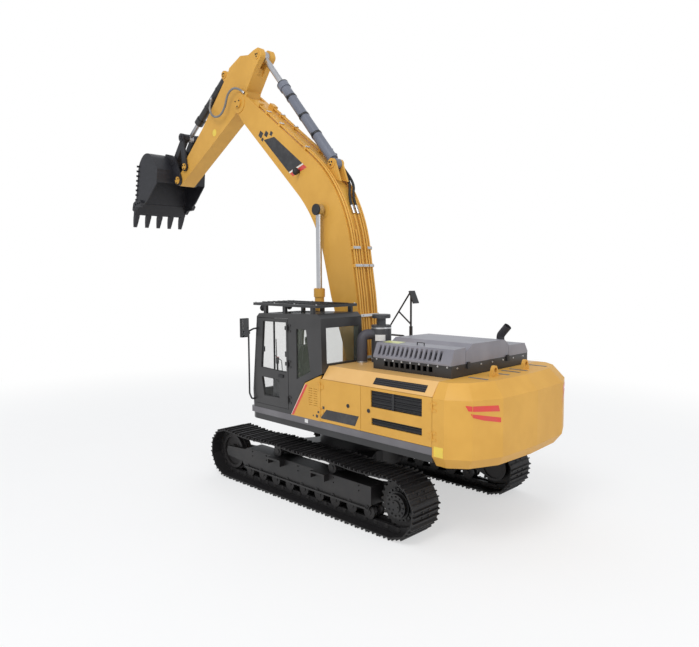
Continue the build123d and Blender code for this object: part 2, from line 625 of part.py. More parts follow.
def hood_section(section, inset=0.0):
    """Cross section carried along the hood, with its front and rear ends sloped in."""
    wire = Polyline(*section, close=True)
    rear = HOOD_REAR + 4 + inset
    face = make_face((Plane.YZ.offset(rear) * wire).edges())
    return extrude(face, amount=HOOD_FRONT - 4 - inset - rear, dir=(1, 0, 0))


def cab_profile(wall=0.0):
    return [(STRIPE[0][0] + 6 - wall * 0.4, CAB_BASE + wall), (1235 - wall, CAB_BASE + wall),
            (1252 - wall, 1760), (1118 - wall, 3060 - wall * 0.6), (1050 - wall * 0.7, 3118 - wall),
            (-430, 3160 - wall), (-520 + wall, 3090 - wall * 0.5), (CAB_REAR + wall, 2225 + wall * 0.8),
            (STRIPE[1][0] + 8 + wall * 0.2, STRIPE[1][1] + 14 + wall)]


DOOR_FRONT = 1150.0
DOOR_REAR = 286.0
# windows of the cab's left side as outlines in (x, z)
DOOR_WINDOWS = [
    [(1012, 2180), (940, 2990), (330, 2996), (325, 2150)],
    [(935, 1690), (1000, 2020), (520, 2010), (520, 1700)],
]
SIDE_WINDOW = [(70, 2070), (70, 2900), (-170, 2900), (-267, 2230)]


def cab_door_outline(gap=0.0):
    return [(1180 + gap, 1540 - gap), (1205 + gap, 1770), (1085 + gap, 3040 + gap), (DOOR_REAR - gap, 3050 + gap),
            (DOOR_REAR - gap, 1540 - gap)]


def cab():
    left = BODY_HALF - 4
    shell = prism(cab_profile(), CAB_IN, left)
    shell -= prism(cab_profile(CAB_WALL), CAB_IN + CAB_WALL, left - CAB_WALL)
    shell -= prism(cab_door_outline(SEAM), left - CAB_WALL - 20, left + 20)
    shell -= prism(SIDE_WINDOW, left - CAB_WALL - 20, left + 20)
    shell -= prism([(1020, 1720), (900, 2990), (100, 2990), (-380, 2960), (-380, 2300), (100, 1720)],
                   CAB_IN - 20, CAB_IN + CAB_WALL + 20)
    shell -= block((1000, 1400), (CAB_IN + 75, left - 75), (1760, 3010))
    shell -= block((-700, -400), (CAB_IN + 75, left - 110), (2370, 2940))
    shell -= block((250, 850), (CAB_IN + 150, left - 150), (3000, 3300))
    shell += hinge_leaf(DOOR_HINGE[0], -1, CAB_HINGE_ZS, True, 1, left, DOOR_HINGE[1], 14)
    save("cab_shell", shell)
    door = prism(cab_door_outline(), left - CAB_WALL, left + 3)
    for window in DOOR_WINDOWS:
        door -= prism(window, left - 100, left + 20)
    door -= block((DOOR_REAR - 50, DOOR_REAR + 14), (left - 100, left - 12), (1500, 3100))
    door += hinge_leaf(DOOR_HINGE[0], 1, CAB_HINGE_ZS, False, 1, left + 3, DOOR_HINGE[1], 14)
    save("cab_door", door)


DOOR_HINGE = (DOOR_REAR - 4, BODY_HALF + 15)
CAB_HINGE_ZS = [1700.0, 2300.0, 2900.0]


def cab_glass():
    left = BODY_HALF - 4
    panes = [
        prism(SIDE_WINDOW, left - 26, left - 18),
        prism([(1020, 1720), (900, 2990), (100, 2990), (-380, 2960), (-380, 2300), (100, 1720)],
              CAB_IN + 16, CAB_IN + 24),
    ]
    slope = [(1246 - 22, 1760), (1246 - 14, 1760), (1120 - 14, 3010), (1120 - 22, 3010)]
    panes.append(prism(slope, CAB_IN + 75, left - 75))
    panes.append(block((-524, -516), (CAB_IN + 75, left - 110), (2370, 2940)))
    panes.append(block((250, 850), (CAB_IN + 150, left - 150), (3112, 3120)))
    save("cab_glass", Compound([solid for pane in panes for solid in pane.solids()]))
    panes = [prism(window, left - 26, left - 18) for window in DOOR_WINDOWS]
    save("door_glass", Compound([solid for pane in panes for solid in pane.solids()]))


def cab_interior():
    middle = (CAB_IN + BODY_HALF) / 2
    floor = CAB_BASE + CAB_WALL
    seat = block((310, 810), (middle - 240, middle + 240), (floor + 420, floor + 540))
    seat += prism([(340, floor + 520), (170, floor + 1180), (270, floor + 1200), (440, floor + 540)],
                  middle - 230, middle + 230)
    seat += block((400, 710), (middle - 160, middle + 160), (floor, floor + 430))
    save("operator_seat", seat)
    consoles = []
    for side in (-1, 1):
        y = middle + side * 320
        box = block((330, 790), (y - 60, y + 60), (floor, floor + 620))
        box += Pos(740, y, floor + 700) * Cylinder(16, 170)
        box += Pos(740, y, floor + 800) * Cylinder(28, 110)
        consoles.append(box)
    pedals = block((1000, 1080), (middle - 160, middle + 160), (floor, floor + 60))
    for side in (-1, 1):
        pedals += Pos(1040, middle + side * 70, floor + 260) * Cylinder(11, 430)
    consoles.append(pedals)
    save("cab_consoles", gathered(consoles))


def roof_guard():
    left, right = BODY_HALF + 5, CAB_IN + 10
    rear, front = -430.0, 1200.0
    low, high = 3255.0, 3300.0
    guard = block((rear, front), (right, left), (low, high))
    guard -= block((rear + 60, front - 60), (right + 60, left - 60), (low - 5, high + 5))
    for x in (rear + 560, rear + 1080):
        guard += block((x - 25, x + 25), (right + 40, left - 40), (low, high))
    for i in range(6):
        y = right + 60 + (left - right - 120) * (i + 1) / 7
        guard += block((rear + 40, front - 40), (y - 9, y + 9), (low + 6, high + 14))
    for x in (rear + 130, rear + 820, front - 300):
        for y in (right + 30, left - 45):
            guard += block((x - 35, x + 35), (y - 25, y + 25), (3100, low + 10))
    return guard - prism(cab_profile(-GAP), CAB_IN - 10, BODY_HALF)


def right_side():
    """Fuel tank and the stepped tool box ahead of it."""
    tank = plan([(TANK_REAR + 3, -500), (TANK_REAR + 3, -BODY_HALF), (TANK_FRONT, -BODY_HALF),
                 (TANK_FRONT, -500)], SILL_TOP, SHOULDER_Z)
    tank = fillet(tank.edges().filter_by(Axis.X).group_by(Axis.Z)[-1], 60)
    save("fuel_tank", tank)
    box = prism([(TANK_FRONT + 4, SILL_TOP), (1180, SILL_TOP), (1180, 1700), (900, 1720), (860, 1940),
                 (TANK_FRONT + 4, 1960)], -BODY_HALF, -620)
    save("tool_box", box)
    rail = tube([(1150, -1410, 1704), (1150, -1410, 2300), (560, -1410, 2560), (150, -1410, 2560),
                 (150, -1410, SHOULDER_Z + GAP)], 19, 90)
    return rail


def intake():
    can = Pos(-840, 420, (HOUSE_TOP + 2950) / 2) * Cylinder(165, 2950 - HOUSE_TOP)
    can += Pos(-840, 420, 3010) * Cylinder(75, 130)
    can += Pos(-840, 420, 3095) * Cylinder(150, 60)
    axis, foot = Vector(-840, 420, 2800), Vector(-680, 715, 2800)
    towards = (foot - axis).normalized()
    can += bar(tuple(axis), tuple(axis + towards * 190), 85)
    save("air_cleaner", can)
    joint = axis + towards * (190 + GAP)
    duct = tube([(foot.X, foot.Y, HOUSE_TOP + GAP), tuple(foot), tuple(joint)], 85, 100)
    save("intake_duct", duct)


def mirrors():
    face = BODY_HALF - 4 + GAP
    left = tube([(1212, face, 1600), (1212, 1552, 1600), (1276, 1552, 1690), (1276, 1552, 2790), (1125, 1552, 2850),
                 (1125, face, 2850)], 15, [28, 28, 60, 40])
    left += Pos(1262, 1650, 2860) * Box(60, 150, 330)
    left += Pos(1270, 1590, 2760) * Box(24, 120, 24)
    save("left_mirror", left)
    y = -1395.0
    foot, apex, low = (10, y, SHOULDER_Z + 5), (10, y, 3446), (620, y, 2640)
    bracket = bar(foot, apex, 20) + bar(apex, low, 16) + bar(foot, (10, y, 2760), 34)
    bracket += bar((310, y, 3030), (10, y, 2800), 16) + bar(low, (1010, y, 1730), 16)
    bracket += block((-45, 65), (y - 34, y + 55), (SHOULDER_Z + GAP, SHOULDER_Z + 14))
    bracket += block((985, 1035), (y - 25, y + 25), (1714 + GAP, 1740))
    bracket += Pos(-60, y, 3330) * Rot(0, 25, 0) * Box(24, 170, 260)
    return bracket


def upper():
    save("main_deck", main_deck())
    save("house_frame", house_frame())
    save("side_sills", gathered([sill(1), sill(-1)]))
    upper_covers()
    save("counterweight", counterweight())
    hood()
    cab()
    cab_glass()
    cab_interior()
    save("roof_guard", roof_guard())
    rail = right_side()
    intake()
    save("right_rails", gathered([rail, mirrors()]))
    save("engine", block((-2500, -1500), (-520, 620), (DECK_TOP, 2250)))


# ---- boom, arm and bucket ------------------------------------------------------------------
TIP_SLOT = 330.0           # room for the arm between the boom's tip ears
BOOM_WALL = 18.0
EAR_RADIUS = 200.0         # of the boom's tip ears
ARM_CYL_EYE_HALF = 62.0
BUCKET_CYL_EYE_HALF = 55.0
CYL_PIN = 48.0             # pins of all cylinders
BOSS_OUT = 6.0             # pin bosses stand out of the boom's sides
CAP_OUT = 18.0             # caps on the ends of the boom cylinders' pins
ROCKER_THICK = 40.0
EAR_THICK = 50.0
LINK_HALF = ARM_HALF
LUG_THICK = 42.0


def boom():
    tip_x, tip_z = BOOM_TIP
    foot_x, foot_z = FOOT
    outline = [(foot_x + 70, foot_z - 150), (534, 3371), (904, 4794), (tip_x - 123, tip_z - 397),
               (tip_x + 50, tip_z - 183), (tip_x + 50, tip_z + 97), (tip_x - 100, tip_z + 207), (208, 5323),
               (-98, 3421), (foot_x - 160, foot_z + 40), (foot_x - 130, foot_z - 120)]
    radii = [60, 900, 2600, 300, 100, 60, 60, 2600, 700, 60, 50]
    body = prism(outline, -BOOM_HALF, BOOM_HALF, radius=radii)
    inner = [(foot_x + 230, foot_z + 420), (500, 3390), (862, 4810), (2700, 6560), (2540, 6990),
             (240, 5290), (-60, 3430), (foot_x - 30, foot_z + 420)]
    side = BOOM_HALF - BOOM_WALL
    body -= prism(inner, -side, side, radius=[0, 800, 2500, 0, 0, 2500, 600, 0])
    slot_half = ARM_HALF + SIDE_GAP
    body -= disc(BOOM_TIP, TIP_SLOT, -slot_half, slot_half)
    body -= prism([(tip_x - 250, tip_z - 600), (tip_x + 450, tip_z - 600), (tip_x + 450, tip_z + 600),
                   (tip_x - 350, tip_z + 600)], -slot_half, slot_half)
    body += both(disc(BOOM_TIP, EAR_RADIUS, slot_half, BOOM_HALF + 12))
    body += both(disc(BOOM_TIP, 95, BOOM_HALF + 5, BOOM_HALF + 45))
    body += disc(BOOM_TIP, PIN, -BOOM_HALF - 20, BOOM_HALF + 20)
    body += both(disc(FOOT, 150, BOOM_HALF - 40, BOOM_HALF))
    body -= disc(FOOT, PIN + GAP, -400, 400)
    body += both(disc(BOOM_CYL_EYE, 150, BOOM_HALF - 30, BOOM_HALF + BOSS_OUT))
    return body + cylinder_lugs()


def cylinder_lugs():
    """Pair of lugs on the boom's back for the arm cylinder, with their pin."""
    base_x, base_z = ARM_CYL_BASE
    low = ARM_CYL_EYE_HALF + SIDE_GAP
    lug = prism([(base_x - 220, base_z - 340), (base_x - 75, base_z + 40), (base_x, base_z + 85),
                 (base_x + 75, base_z + 40), (base_x + 95, base_z - 20), (base_x + 360, base_z + 70),
                 (base_x + 300, base_z - 200)], low, low + LUG_THICK)
    lug += disc(ARM_CYL_BASE, 88, low, low + LUG_THICK + 14)
    return both(lug) + disc(ARM_CYL_BASE, CYL_PIN, -low - LUG_THICK - 30, low + LUG_THICK + 30)


def barrel(base, eye, centre_y, radius, rod_radius, gland, eye_half):
    """Cylinder barrel with its base eye, lying along the line from its base pin to its rod's pin."""
    line = aimed(base, eye)
    axis = Plane(origin=(base[0], centre_y, base[1]), z_dir=line.x_dir)
    shoulder = radius * 1.15
    body = extrude(axis.offset(shoulder) * Circle(radius), amount=gland - shoulder)
    body += extrude(axis.offset(gland - 150) * Circle(radius + 16), amount=150)
    body += extrude(axis.offset(10) * Circle(eye_half - 2), amount=shoulder)
    body += disc((0, 0), radius, centre_y - eye_half, centre_y + eye_half, line)
    body -= disc((0, 0), CYL_PIN + GAP, centre_y - 300, centre_y + 300, line)
    return body - extrude(axis.offset(shoulder + 60) * Circle(rod_radius + GAP), amount=gland)


def rod(base, eye, centre_y, radius, gland, eye_half, eye_radius, inside, pin_ys):
    """Piston rod from inside the barrel to its eye and the pin that it carries across pin_ys."""
    line = aimed(eye, base)
    axis = Plane(origin=(eye[0], centre_y, eye[1]), z_dir=line.x_dir)
    visible = span(base, eye) - gland
    body = extrude(axis.offset(eye_radius * 0.7) * Circle(radius), amount=visible + inside - eye_radius * 0.7)
    body += disc((0, 0), eye_radius, centre_y - eye_half, centre_y + eye_half, line)
    return body + disc((0, 0), CYL_PIN, *pin_ys, line)


def cylinders():
    barrels, rods = [], []
    for side in (-1, 1):
        y = side * BOOM_CYL_Y
        barrels.append(barrel(BOOM_CYL_BASE, BOOM_CYL_EYE, y, BOOM_CYL_RADIUS, BOOM_ROD_RADIUS, BOOM_GLAND,
                              CYL_EYE_HALF))
        ends = sorted([side * (BOOM_HALF + BOSS_OUT + GAP), side * LUG_IN])
        rods.append(rod(BOOM_CYL_BASE, BOOM_CYL_EYE, y, BOOM_ROD_RADIUS, BOOM_GLAND, CYL_EYE_HALF, 100, 260, ends))
        cap = sorted([side * (LUG_IN - SIDE_GAP - 2), side * (LUG_IN + CAP_OUT)])
        rods.append(disc(BOOM_CYL_EYE, CYL_PIN + 28, *cap))
    save("boom_cylinder_barrels", gathered(barrels))
    save("boom_cylinder_rods", gathered(rods))
    save("arm_cylinder_barrel", barrel(ARM_CYL_BASE, ARM_CYL_EYE, 0, ARM_CYL_RADIUS, ARM_ROD_RADIUS, ARM_GLAND,
                                       ARM_CYL_EYE_HALF))
    seat = ARM_CYL_EYE_HALF + SIDE_GAP - GAP
    save("arm_cylinder_rod", rod(ARM_CYL_BASE, ARM_CYL_EYE, 0, ARM_ROD_RADIUS, ARM_GLAND, ARM_CYL_EYE_HALF, 105, 800,
                                 (-seat, seat)))
    save("bucket_cylinder_barrel", barrel(BUCKET_CYL_BASE, LINK_PIN, 0, BUCKET_CYL_RADIUS, BUCKET_ROD_RADIUS,
                                          BUCKET_GLAND, BUCKET_CYL_EYE_HALF))
    seat_in = BUCKET_CYL_EYE_HALF + SIDE_GAP - GAP
    save("bucket_cylinder_rod", rod(BUCKET_CYL_BASE, LINK_PIN, 0, BUCKET_ROD_RADIUS, BUCKET_GLAND,
                                    BUCKET_CYL_EYE_HALF, 92, 930, (-seat_in, seat_in)))


def local_point(plane, point):
    """Point (x, z) of the machine in a side plane's own coordinates."""
    found = plane.to_local_coords(Vector(point[0], 0, point[1]))
    return found.X, found.Y


def arm():
    """Arm in its own plane: local x from the boom's tip pin to the bucket pin."""
    plane = aimed(BOOM_TIP, BUCKET_PIN)
    reach = span(BOOM_TIP, BUCKET_PIN)
    outline = [(reach, -125), (250, -60), (-150, -60), (-263, 112), (-720, 320), (-1010, 400), (-1020, 590),
               (-850, 650), (-660, 690), (-445, 855), (-24, 902), (90, 835), (1424, 445), (reach - 524, 270),
               (reach - 300, 140), (reach, 125)]
    radii = [0, 0, 0, 60, 200, 90, 90, 60, 60, 60, 60, 60, 300, 200, 200, 0]
    body = prism(outline, -ARM_HALF, ARM_HALF, plane, radius=radii)
    body += disc((0, 0), 165, -ARM_HALF, ARM_HALF, plane)
    body += disc((reach, 0), 125, -ARM_HALF, ARM_HALF, plane)
    inner = [(reach - 500, -60), (300, -40), (-120, 250), (-560, 480), (-420, 800), (-40, 860), (1410, 420),
             (reach - 560, 240)]
    body -= prism(inner, -ARM_HALF + 16, ARM_HALF - 16, plane)
    slot = [(-1200, 100), (-540, 100), (-600, 290), (-690, 360), (-640, 700), (-1200, 900)]
    slot_half = ARM_CYL_EYE_HALF + SIDE_GAP
    body -= prism(slot, -slot_half, slot_half, plane)
    tail = local_point(plane, ARM_CYL_EYE)
    body += both(disc(tail, CYL_PIN, ARM_HALF - 10, ARM_HALF + 16, plane))
    body += both(disc(tail, CYL_PIN + 30, ARM_HALF - 10, ARM_HALF + 12, plane))
    body -= disc((0, 0), PIN + GAP, -400, 400, plane)
    base_u, base_v = local_point(plane, BUCKET_CYL_BASE)
    lug = [(base_u - 260, 790), (base_u - 75, base_v + 50), (base_u, base_v + 85), (base_u + 70, base_v + 50),
           (base_u + 88, base_v - 30), (base_u + 70, base_v - 120), (base_u + 300, 740)]
    low = BUCKET_CYL_EYE_HALF + SIDE_GAP
    body += both(prism(lug, low, low + LUG_THICK, plane))
    body += both(disc((base_u, base_v), 84, low, low + LUG_THICK + 12, plane))
    body += disc((base_u, base_v), CYL_PIN, -low - LUG_THICK - 26, low + LUG_THICK + 26, plane)
    pivot = local_point(plane, ROCKER_PIN)
    out = ARM_HALF + SIDE_GAP + ROCKER_THICK
    body += both(disc(pivot, 50, ARM_HALF - 10, out + 20, plane))
    body += both(disc(pivot, 74, out + GAP * 10, out + 20, plane))
    body += both(disc(pivot, 96, ARM_HALF - 10, ARM_HALF + SIDE_GAP - GAP * 5, plane))
    out = ARM_HALF + SIDE_GAP + EAR_THICK
    body += both(disc((reach, 0), PIN, ARM_HALF - 10, out + 24, plane))
    body += both(disc((reach, 0), PIN + 24, out + GAP * 10, out + 22, plane))
    return body


def rocker():
    """Pair of plates outside the arm, with the ends of the pin they share with the link and the rod."""
    plane = aimed(ROCKER_PIN, LINK_PIN)
    reach = span(ROCKER_PIN, LINK_PIN)
    low = ARM_HALF + SIDE_GAP
    high = low + ROCKER_THICK
    plate = prism([(0, -85), (reach, -70), (reach, 70), (0, 85)], low, high, plane)
    plate += disc((0, 0), 100, low, high, plane) + disc((reach, 0), 92, low, high + 14, plane)
    plate -= disc((0, 0), 50 + GAP, low, high, plane)
    return both(plate + disc((reach, 0), CYL_PIN, high - 10, high + 22, plane))


def link():
    """Connecting link: wide boss at the bucket, fork round the rod's eye at the other end."""
    plane = aimed(EAR_PIN, LINK_PIN)
    reach = span(EAR_PIN, LINK_PIN)
    fork_in = BUCKET_CYL_EYE_HALF + SIDE_GAP
    fork_out = ARM_HALF - SIDE_GAP
    body = disc((0, 0), 88, -LINK_HALF, LINK_HALF, plane)
    cheek = prism([(0, -80), (reach, -75), (reach, 75), (0, 80)], fork_in, fork_out, plane)
    cheek += disc((reach, 0), 88, fork_in, fork_out, plane)
    body += both(cheek)
    body += prism([(40, -60), (reach * 0.42, -50), (reach * 0.42, 50), (40, 60)], -fork_out, fork_out, plane)
    body += both(disc((reach, 0), CYL_PIN, fork_in, ARM_HALF + SIDE_GAP - GAP, plane))
    return body - disc((0, 0), PIN - 10 + GAP, -LINK_HALF - 5, LINK_HALF + 5, plane)


# ---- bucket, in its own plane: local x from the bucket pin to the tooth tips, local y to its back
HINGE_HALF = 645.0         # half width at the hinge side, of the shell's outside
LIP_HALF = 690.0           # half width at the lip
CUTTER_OUT = 745.0         # outside of the side cutters
LIP_U = 1485.0             # lip edge, along the line to the teeth
TOOTH_YS = [-620.0, -310.0, 0.0, 310.0, 620.0]
HEEL_STEPS = 8             # wear lugs along each side's back edge


def bucket_plane():
    turn = radians(TOOTH_ANGLE)
    return Plane(origin=(BUCKET_PIN[0], 0, BUCKET_PIN[1]), x_dir=(cos(turn), 0, sin(turn)), z_dir=(0, -1, 0))


def bucket_slice(inset):
    """Tapered room between the two side plates' faces, inset from the outside."""
    side = bucket_plane()
    flat = Plane(origin=side.origin, x_dir=side.x_dir, z_dir=side.y_dir)
    slope = (LIP_HALF - HINGE_HALF) / LIP_U
    near, far = -400.0, 1900.0
    half_near, half_far = HINGE_HALF + slope * near - inset, HINGE_HALF + slope * far - inset
    outline = [(near, -half_near), (far, -half_far), (far, half_far), (near, half_near)]
    face = make_face((flat.offset(-400) * Polyline(*outline, close=True)).edges())
    return extrude(face, amount=2000)


def bucket_outline(wall):
    """Side view of the shell, inset by its wall at the back and the floor only."""
    return [(235, 110), (20 + wall, 325), (42 + wall, 1050 - wall), (600 - wall * 0.3, 990 - wall),
            (1315 - wall * 0.7, 300 - wall * 0.7)]


def bucket():
    plane = bucket_plane()
    wide = LIP_HALF + 40
    mouth = [(1295, 285), (1023, 92), (813, 66)]
    outer = prism(bucket_outline(0) + mouth, -wide, wide, plane, radius=[0, 30, 340, 500, 0, 20, 150, 200])
    past = [(1600, -100), (400, -300), (225, 60)]
    inner = prism(bucket_outline(BUCKET_WALL) + past, -wide, wide, plane, radius=[0, 20, 315, 475, 0, 0, 0, 0])
    shell = outer & bucket_slice(0)
    shell -= inner & bucket_slice(BUCKET_WALL)
    tube_box = prism([(235, 110), (20, 325), (32, 520), (70, 560), (320, 215)], -wide, wide, plane)
    shell += tube_box & bucket_slice(2)
    lip = prism([(1255, 345), (1300, 352), (LIP_U, 205), (LIP_U, 160), (1440, 165), (1240, 315)], -wide, wide, plane)
    shell += lip & bucket_slice(0)
    shell += both(side_cutter(plane))
    shell += both(heel_lugs(plane))
    low = ARM_HALF + SIDE_GAP
    ear_u, ear_v = local_point(plane, EAR_PIN)
    ear = [(40, -112), (-112, -70), (ear_u - 130, ear_v - 20), (ear_u - 70, ear_v + 120), (20, 850), (60, 850),
           (60, 300), (215, 140), (112, -60)]
    cheek = prism(ear, low, low + EAR_THICK, plane, radius=[70, 90, 90, 90, 0, 0, 0, 40, 90])
    cheek += disc((0, 0), 118, low, low + EAR_THICK, plane)
    cheek += disc((ear_u, ear_v), 105, low, low + EAR_THICK + 10, plane)
    cheek -= disc((0, 0), PIN + GAP, low - 5, low + EAR_THICK + 5, plane)
    shell += both(cheek)
    shell += disc((ear_u, ear_v), PIN - 10, -low - EAR_THICK - 20, low + EAR_THICK + 20, plane)
    for y in TOOTH_YS:
        shell += tooth(plane, y)
    return shell


def side_cutter(plane):
    """Plate bolted outside the side plate's mouth corner."""
    outline = [(985, 200), (960, 90), (1080, 72), (1250, 190), (1400, 190), (1425, 255), (1290, 350), (1180, 330)]
    return prism(outline, LIP_HALF - 22, CUTTER_OUT, plane, radius=[20, 20, 40, 60, 20, 20, 20, 20])


def heel_lugs(plane):
    """Wear lugs along the bottom edge of one side plate."""
    lugs = None
    start, end = (640, 960), (1210, 405)
    for i in range(HEEL_STEPS):
        share = i / (HEEL_STEPS - 1)
        u, v = start[0] + (end[0] - start[0]) * share, start[1] + (end[1] - start[1]) * share
        run = hypot(end[0] - start[0], end[1] - start[1])
        along = ((end[0] - start[0]) / run, (end[1] - start[1]) / run)
        out = (-along[1], along[0])
        corners = [(-24, -40), (24, -40), (24, 16), (-24, 16)]
        outline = [(u + along[0] * a + out[0] * b, v + along[1] * a + out[1] * b) for a, b in corners]
        lug = prism(outline, LIP_HALF - 50, LIP_HALF + 8, plane)
        lugs = lug if lugs is None else lugs + lug
    return lugs


def tooth(plane, y):
    """Adapter that grips the lip, with its tapered tooth."""
    adapter = [(1270, 372), (1330, 382), (1500, 262), (1600, 168), (1575, 86), (1500, 120), (1330, 250), (1300, 300)]
    body = prism(adapter, y - 56, y + 56, plane, radius=[10, 30, 40, 10, 10, 40, 20, 10])
    sections = []
    for u, v, high, wide in ((1560, 150, 104, 108), (1660, 78, 66, 104), (TOOTH_REACH, 4, 18, 88)):
        cut = Plane(origin=plane.from_local_coords(Vector(u, v, -y)), x_dir=(0, 1, 0),
                    z_dir=plane.from_local_coords(Vector(812, -590, 0)) - plane.from_local_coords(Vector(0, 0, 0)))
        sections.append(cut * Rectangle(wide, high))
    return body + loft(sections, ruled=True)


def attachment():
    save("boom", boom())
    cylinders()
    save("arm", arm())
    save("bucket_rocker", rocker())
    save("bucket_link", link())
    save("bucket", bucket())


def main():
    os.makedirs("parts", exist_ok=True)
    undercarriage()
    upper()
    attachment()


if __name__ == "__main__":
    main()
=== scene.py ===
"""Looks of the crawler excavator: materials, small fittings, blank decals, light and camera."""

from math import cos, hypot, pi, radians, sin, tan

import bmesh
import bpy
from mathutils import Matrix, Vector

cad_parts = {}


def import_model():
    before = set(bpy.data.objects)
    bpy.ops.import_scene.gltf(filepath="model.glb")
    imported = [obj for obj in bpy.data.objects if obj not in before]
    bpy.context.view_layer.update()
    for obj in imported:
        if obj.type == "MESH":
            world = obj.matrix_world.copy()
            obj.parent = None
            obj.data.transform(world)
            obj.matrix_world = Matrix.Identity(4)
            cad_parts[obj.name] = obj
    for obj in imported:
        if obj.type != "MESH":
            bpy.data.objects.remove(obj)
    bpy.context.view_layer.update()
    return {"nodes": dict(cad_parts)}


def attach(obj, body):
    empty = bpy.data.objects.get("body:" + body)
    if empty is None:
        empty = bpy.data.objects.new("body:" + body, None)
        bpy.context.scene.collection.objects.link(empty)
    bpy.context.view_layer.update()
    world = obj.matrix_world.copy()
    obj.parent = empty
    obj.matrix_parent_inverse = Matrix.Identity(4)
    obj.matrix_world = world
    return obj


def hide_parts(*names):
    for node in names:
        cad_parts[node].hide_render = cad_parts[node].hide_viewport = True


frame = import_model()
nodes = frame["nodes"]


# ---- materials -----------------------------------------------------------------------------

class Term:
    """A socket in a material's node tree, with arithmetic, so that a look reads as a formula."""

    def __init__(self, tree, socket):
        self.tree = tree
        self.socket = socket

    def node(self, kind, output=0, inputs=None, **settings):
        """Any other node: inputs by name or number, a Term linked and a number or a tuple set."""
        made = self.tree.nodes.new(kind)
        for key, value in settings.items():
            setattr(made, key, value)
        for key, value in (inputs or {}).items():
            if isinstance(value, Term):
                self.tree.links.new(value.socket, made.inputs[key])
            else:
                made.inputs[key].default_value = value
        return Term(self.tree, made.outputs[output])

    def math(self, operation, other=0.0, swapped=False):
        first, second = (other, self) if swapped else (self, other)
        return self.node("ShaderNodeMath", inputs={0: first, 1: second}, operation=operation)

    def __add__(self, other):
        return self.math("ADD", other)

    __radd__ = __add__

    def __sub__(self, other):
        return self.math("SUBTRACT", other)

    def __rsub__(self, other):
        return self.math("SUBTRACT", other, True)

    def __mul__(self, other):
        return self.math("MULTIPLY", other)

    __rmul__ = __mul__

    def __truediv__(self, other):
        return self.math("DIVIDE", other)

    def __rtruediv__(self, other):
        return self.math("DIVIDE", other, True)

    def __gt__(self, other):
        return self.math("GREATER_THAN", other)

    def __lt__(self, other):
        return self.math("LESS_THAN", other)

    def step(self, low, high):
        """0 below low, 1 above high, smooth between."""
        return self.node("ShaderNodeMapRange", inputs={0: self, 1: low, 2: high, 3: 0.0, 4: 1.0},
                         interpolation_type="SMOOTHSTEP")

    def noise(self, scale, detail=4.0, rough=0.6):
        """Noise at this point of the object, scale in waves a metre."""
        return self.node("ShaderNodeTexNoise", inputs={"Vector": self, "Scale": scale, "Detail": detail,
                                                       "Roughness": rough})

    def mix(self, low, high):
        """Colour low where this is 0, high where it is 1."""
        made = self.tree.nodes.new("ShaderNodeMix")
        made.data_type = "RGBA"
        self.tree.links.new(self.socket, made.inputs[0])
        for place, value in ((6, low), (7, high)):
            if isinstance(value, Term):
                self.tree.links.new(value.socket, made.inputs[place])
            else:
                made.inputs[place].default_value = (*value, 1.0)
        return Term(self.tree, made.outputs[2])


class Look:
    """A new material: its shader's constants, and the terms that vary over the surface."""

    def __init__(self, name, **constants):
        self.material = bpy.data.materials.new(name)
        self.material.use_nodes = True
        tree = self.material.node_tree
        self.shader = tree.nodes["Principled BSDF"]
        for key, value in constants.items():
            self.shader.inputs[key.replace("_", " ").title()].default_value = value
        here = tree.nodes.new("ShaderNodeTexCoord")
        self.place = Term(tree, here.outputs["Object"])
        parts = tree.nodes.new("ShaderNodeSeparateXYZ")
        tree.links.new(here.outputs["Object"], parts.inputs[0])
        self.x, self.y, self.z = (Term(tree, parts.outputs[i]) for i in range(3))

    def vary(self, **terms):
        for key, term in terms.items():
            self.place.tree.links.new(term.socket, self.shader.inputs[key.replace("_", " ").title()])
        return self

    def bump(self, height, distance, strength=1.0):
        normal = self.place.node("ShaderNodeBump", inputs={"Height": height, "Distance": distance,
                                                          "Strength": strength})
        self.place.tree.links.new(normal.socket, self.shader.inputs["Normal"])
        return self


def paint(name, colour, light, dark, rough=0.34, coat=0.35, dust=0.25):
    """Machine paint: faint patches, orange peel, thin dust low down."""
    look = Look(name, coat_weight=coat, coat_roughness=0.18)
    patches = look.place.noise(1.3, 3.0)
    specks = look.place.noise(38.0, 5.0)
    body = patches.step(0.35, 0.68).mix(dark, light)
    worn = specks.step(0.6, 0.78) * 0.25
    body = worn.mix(body, colour)
    film = (1.0 - look.z.step(0.1, 1.5)) * look.place.noise(5.0, 6.0).step(0.4, 0.66) * dust
    look.vary(base_color=film.mix(body, (0.30, 0.26, 0.21)), roughness=rough + specks * 0.14 + film * 0.3)
    return look.bump(look.place.noise(260.0, 2.0), 0.0006, 0.22).material


def steel(name, dark, light, metal=0.85, rough=0.4, grain=24.0):
    """Bare or thinly painted steel with worn, lighter patches."""
    look = Look(name)
    patches = look.place.noise(grain, 8.0, 0.68)
    worn = patches.step(0.5, 0.72)
    look.vary(base_color=worn.mix(dark, light), metallic=worn * metal, roughness=rough + patches * 0.3)
    return look.bump(patches, 0.002, 0.35).material


def plastic(name, colour, light, rough=0.5, bump=0.25, scale=320.0):
    look = Look(name)
    patches = look.place.noise(3.0, 4.0)
    look.vary(base_color=patches.step(0.3, 0.75).mix(colour, light), roughness=rough + patches * 0.15)
    return look.bump(look.place.noise(scale, 2.0), 0.0008, bump).material


def chrome(name, dark, light, rough):
    """Bare or plated metal with faint streaks."""
    look = Look(name, metallic=1.0)
    streaks = look.place.noise(7.0, 6.0)
    look.vary(base_color=streaks.mix(dark, light), roughness=rough + streaks * 0.1)
    return look.material


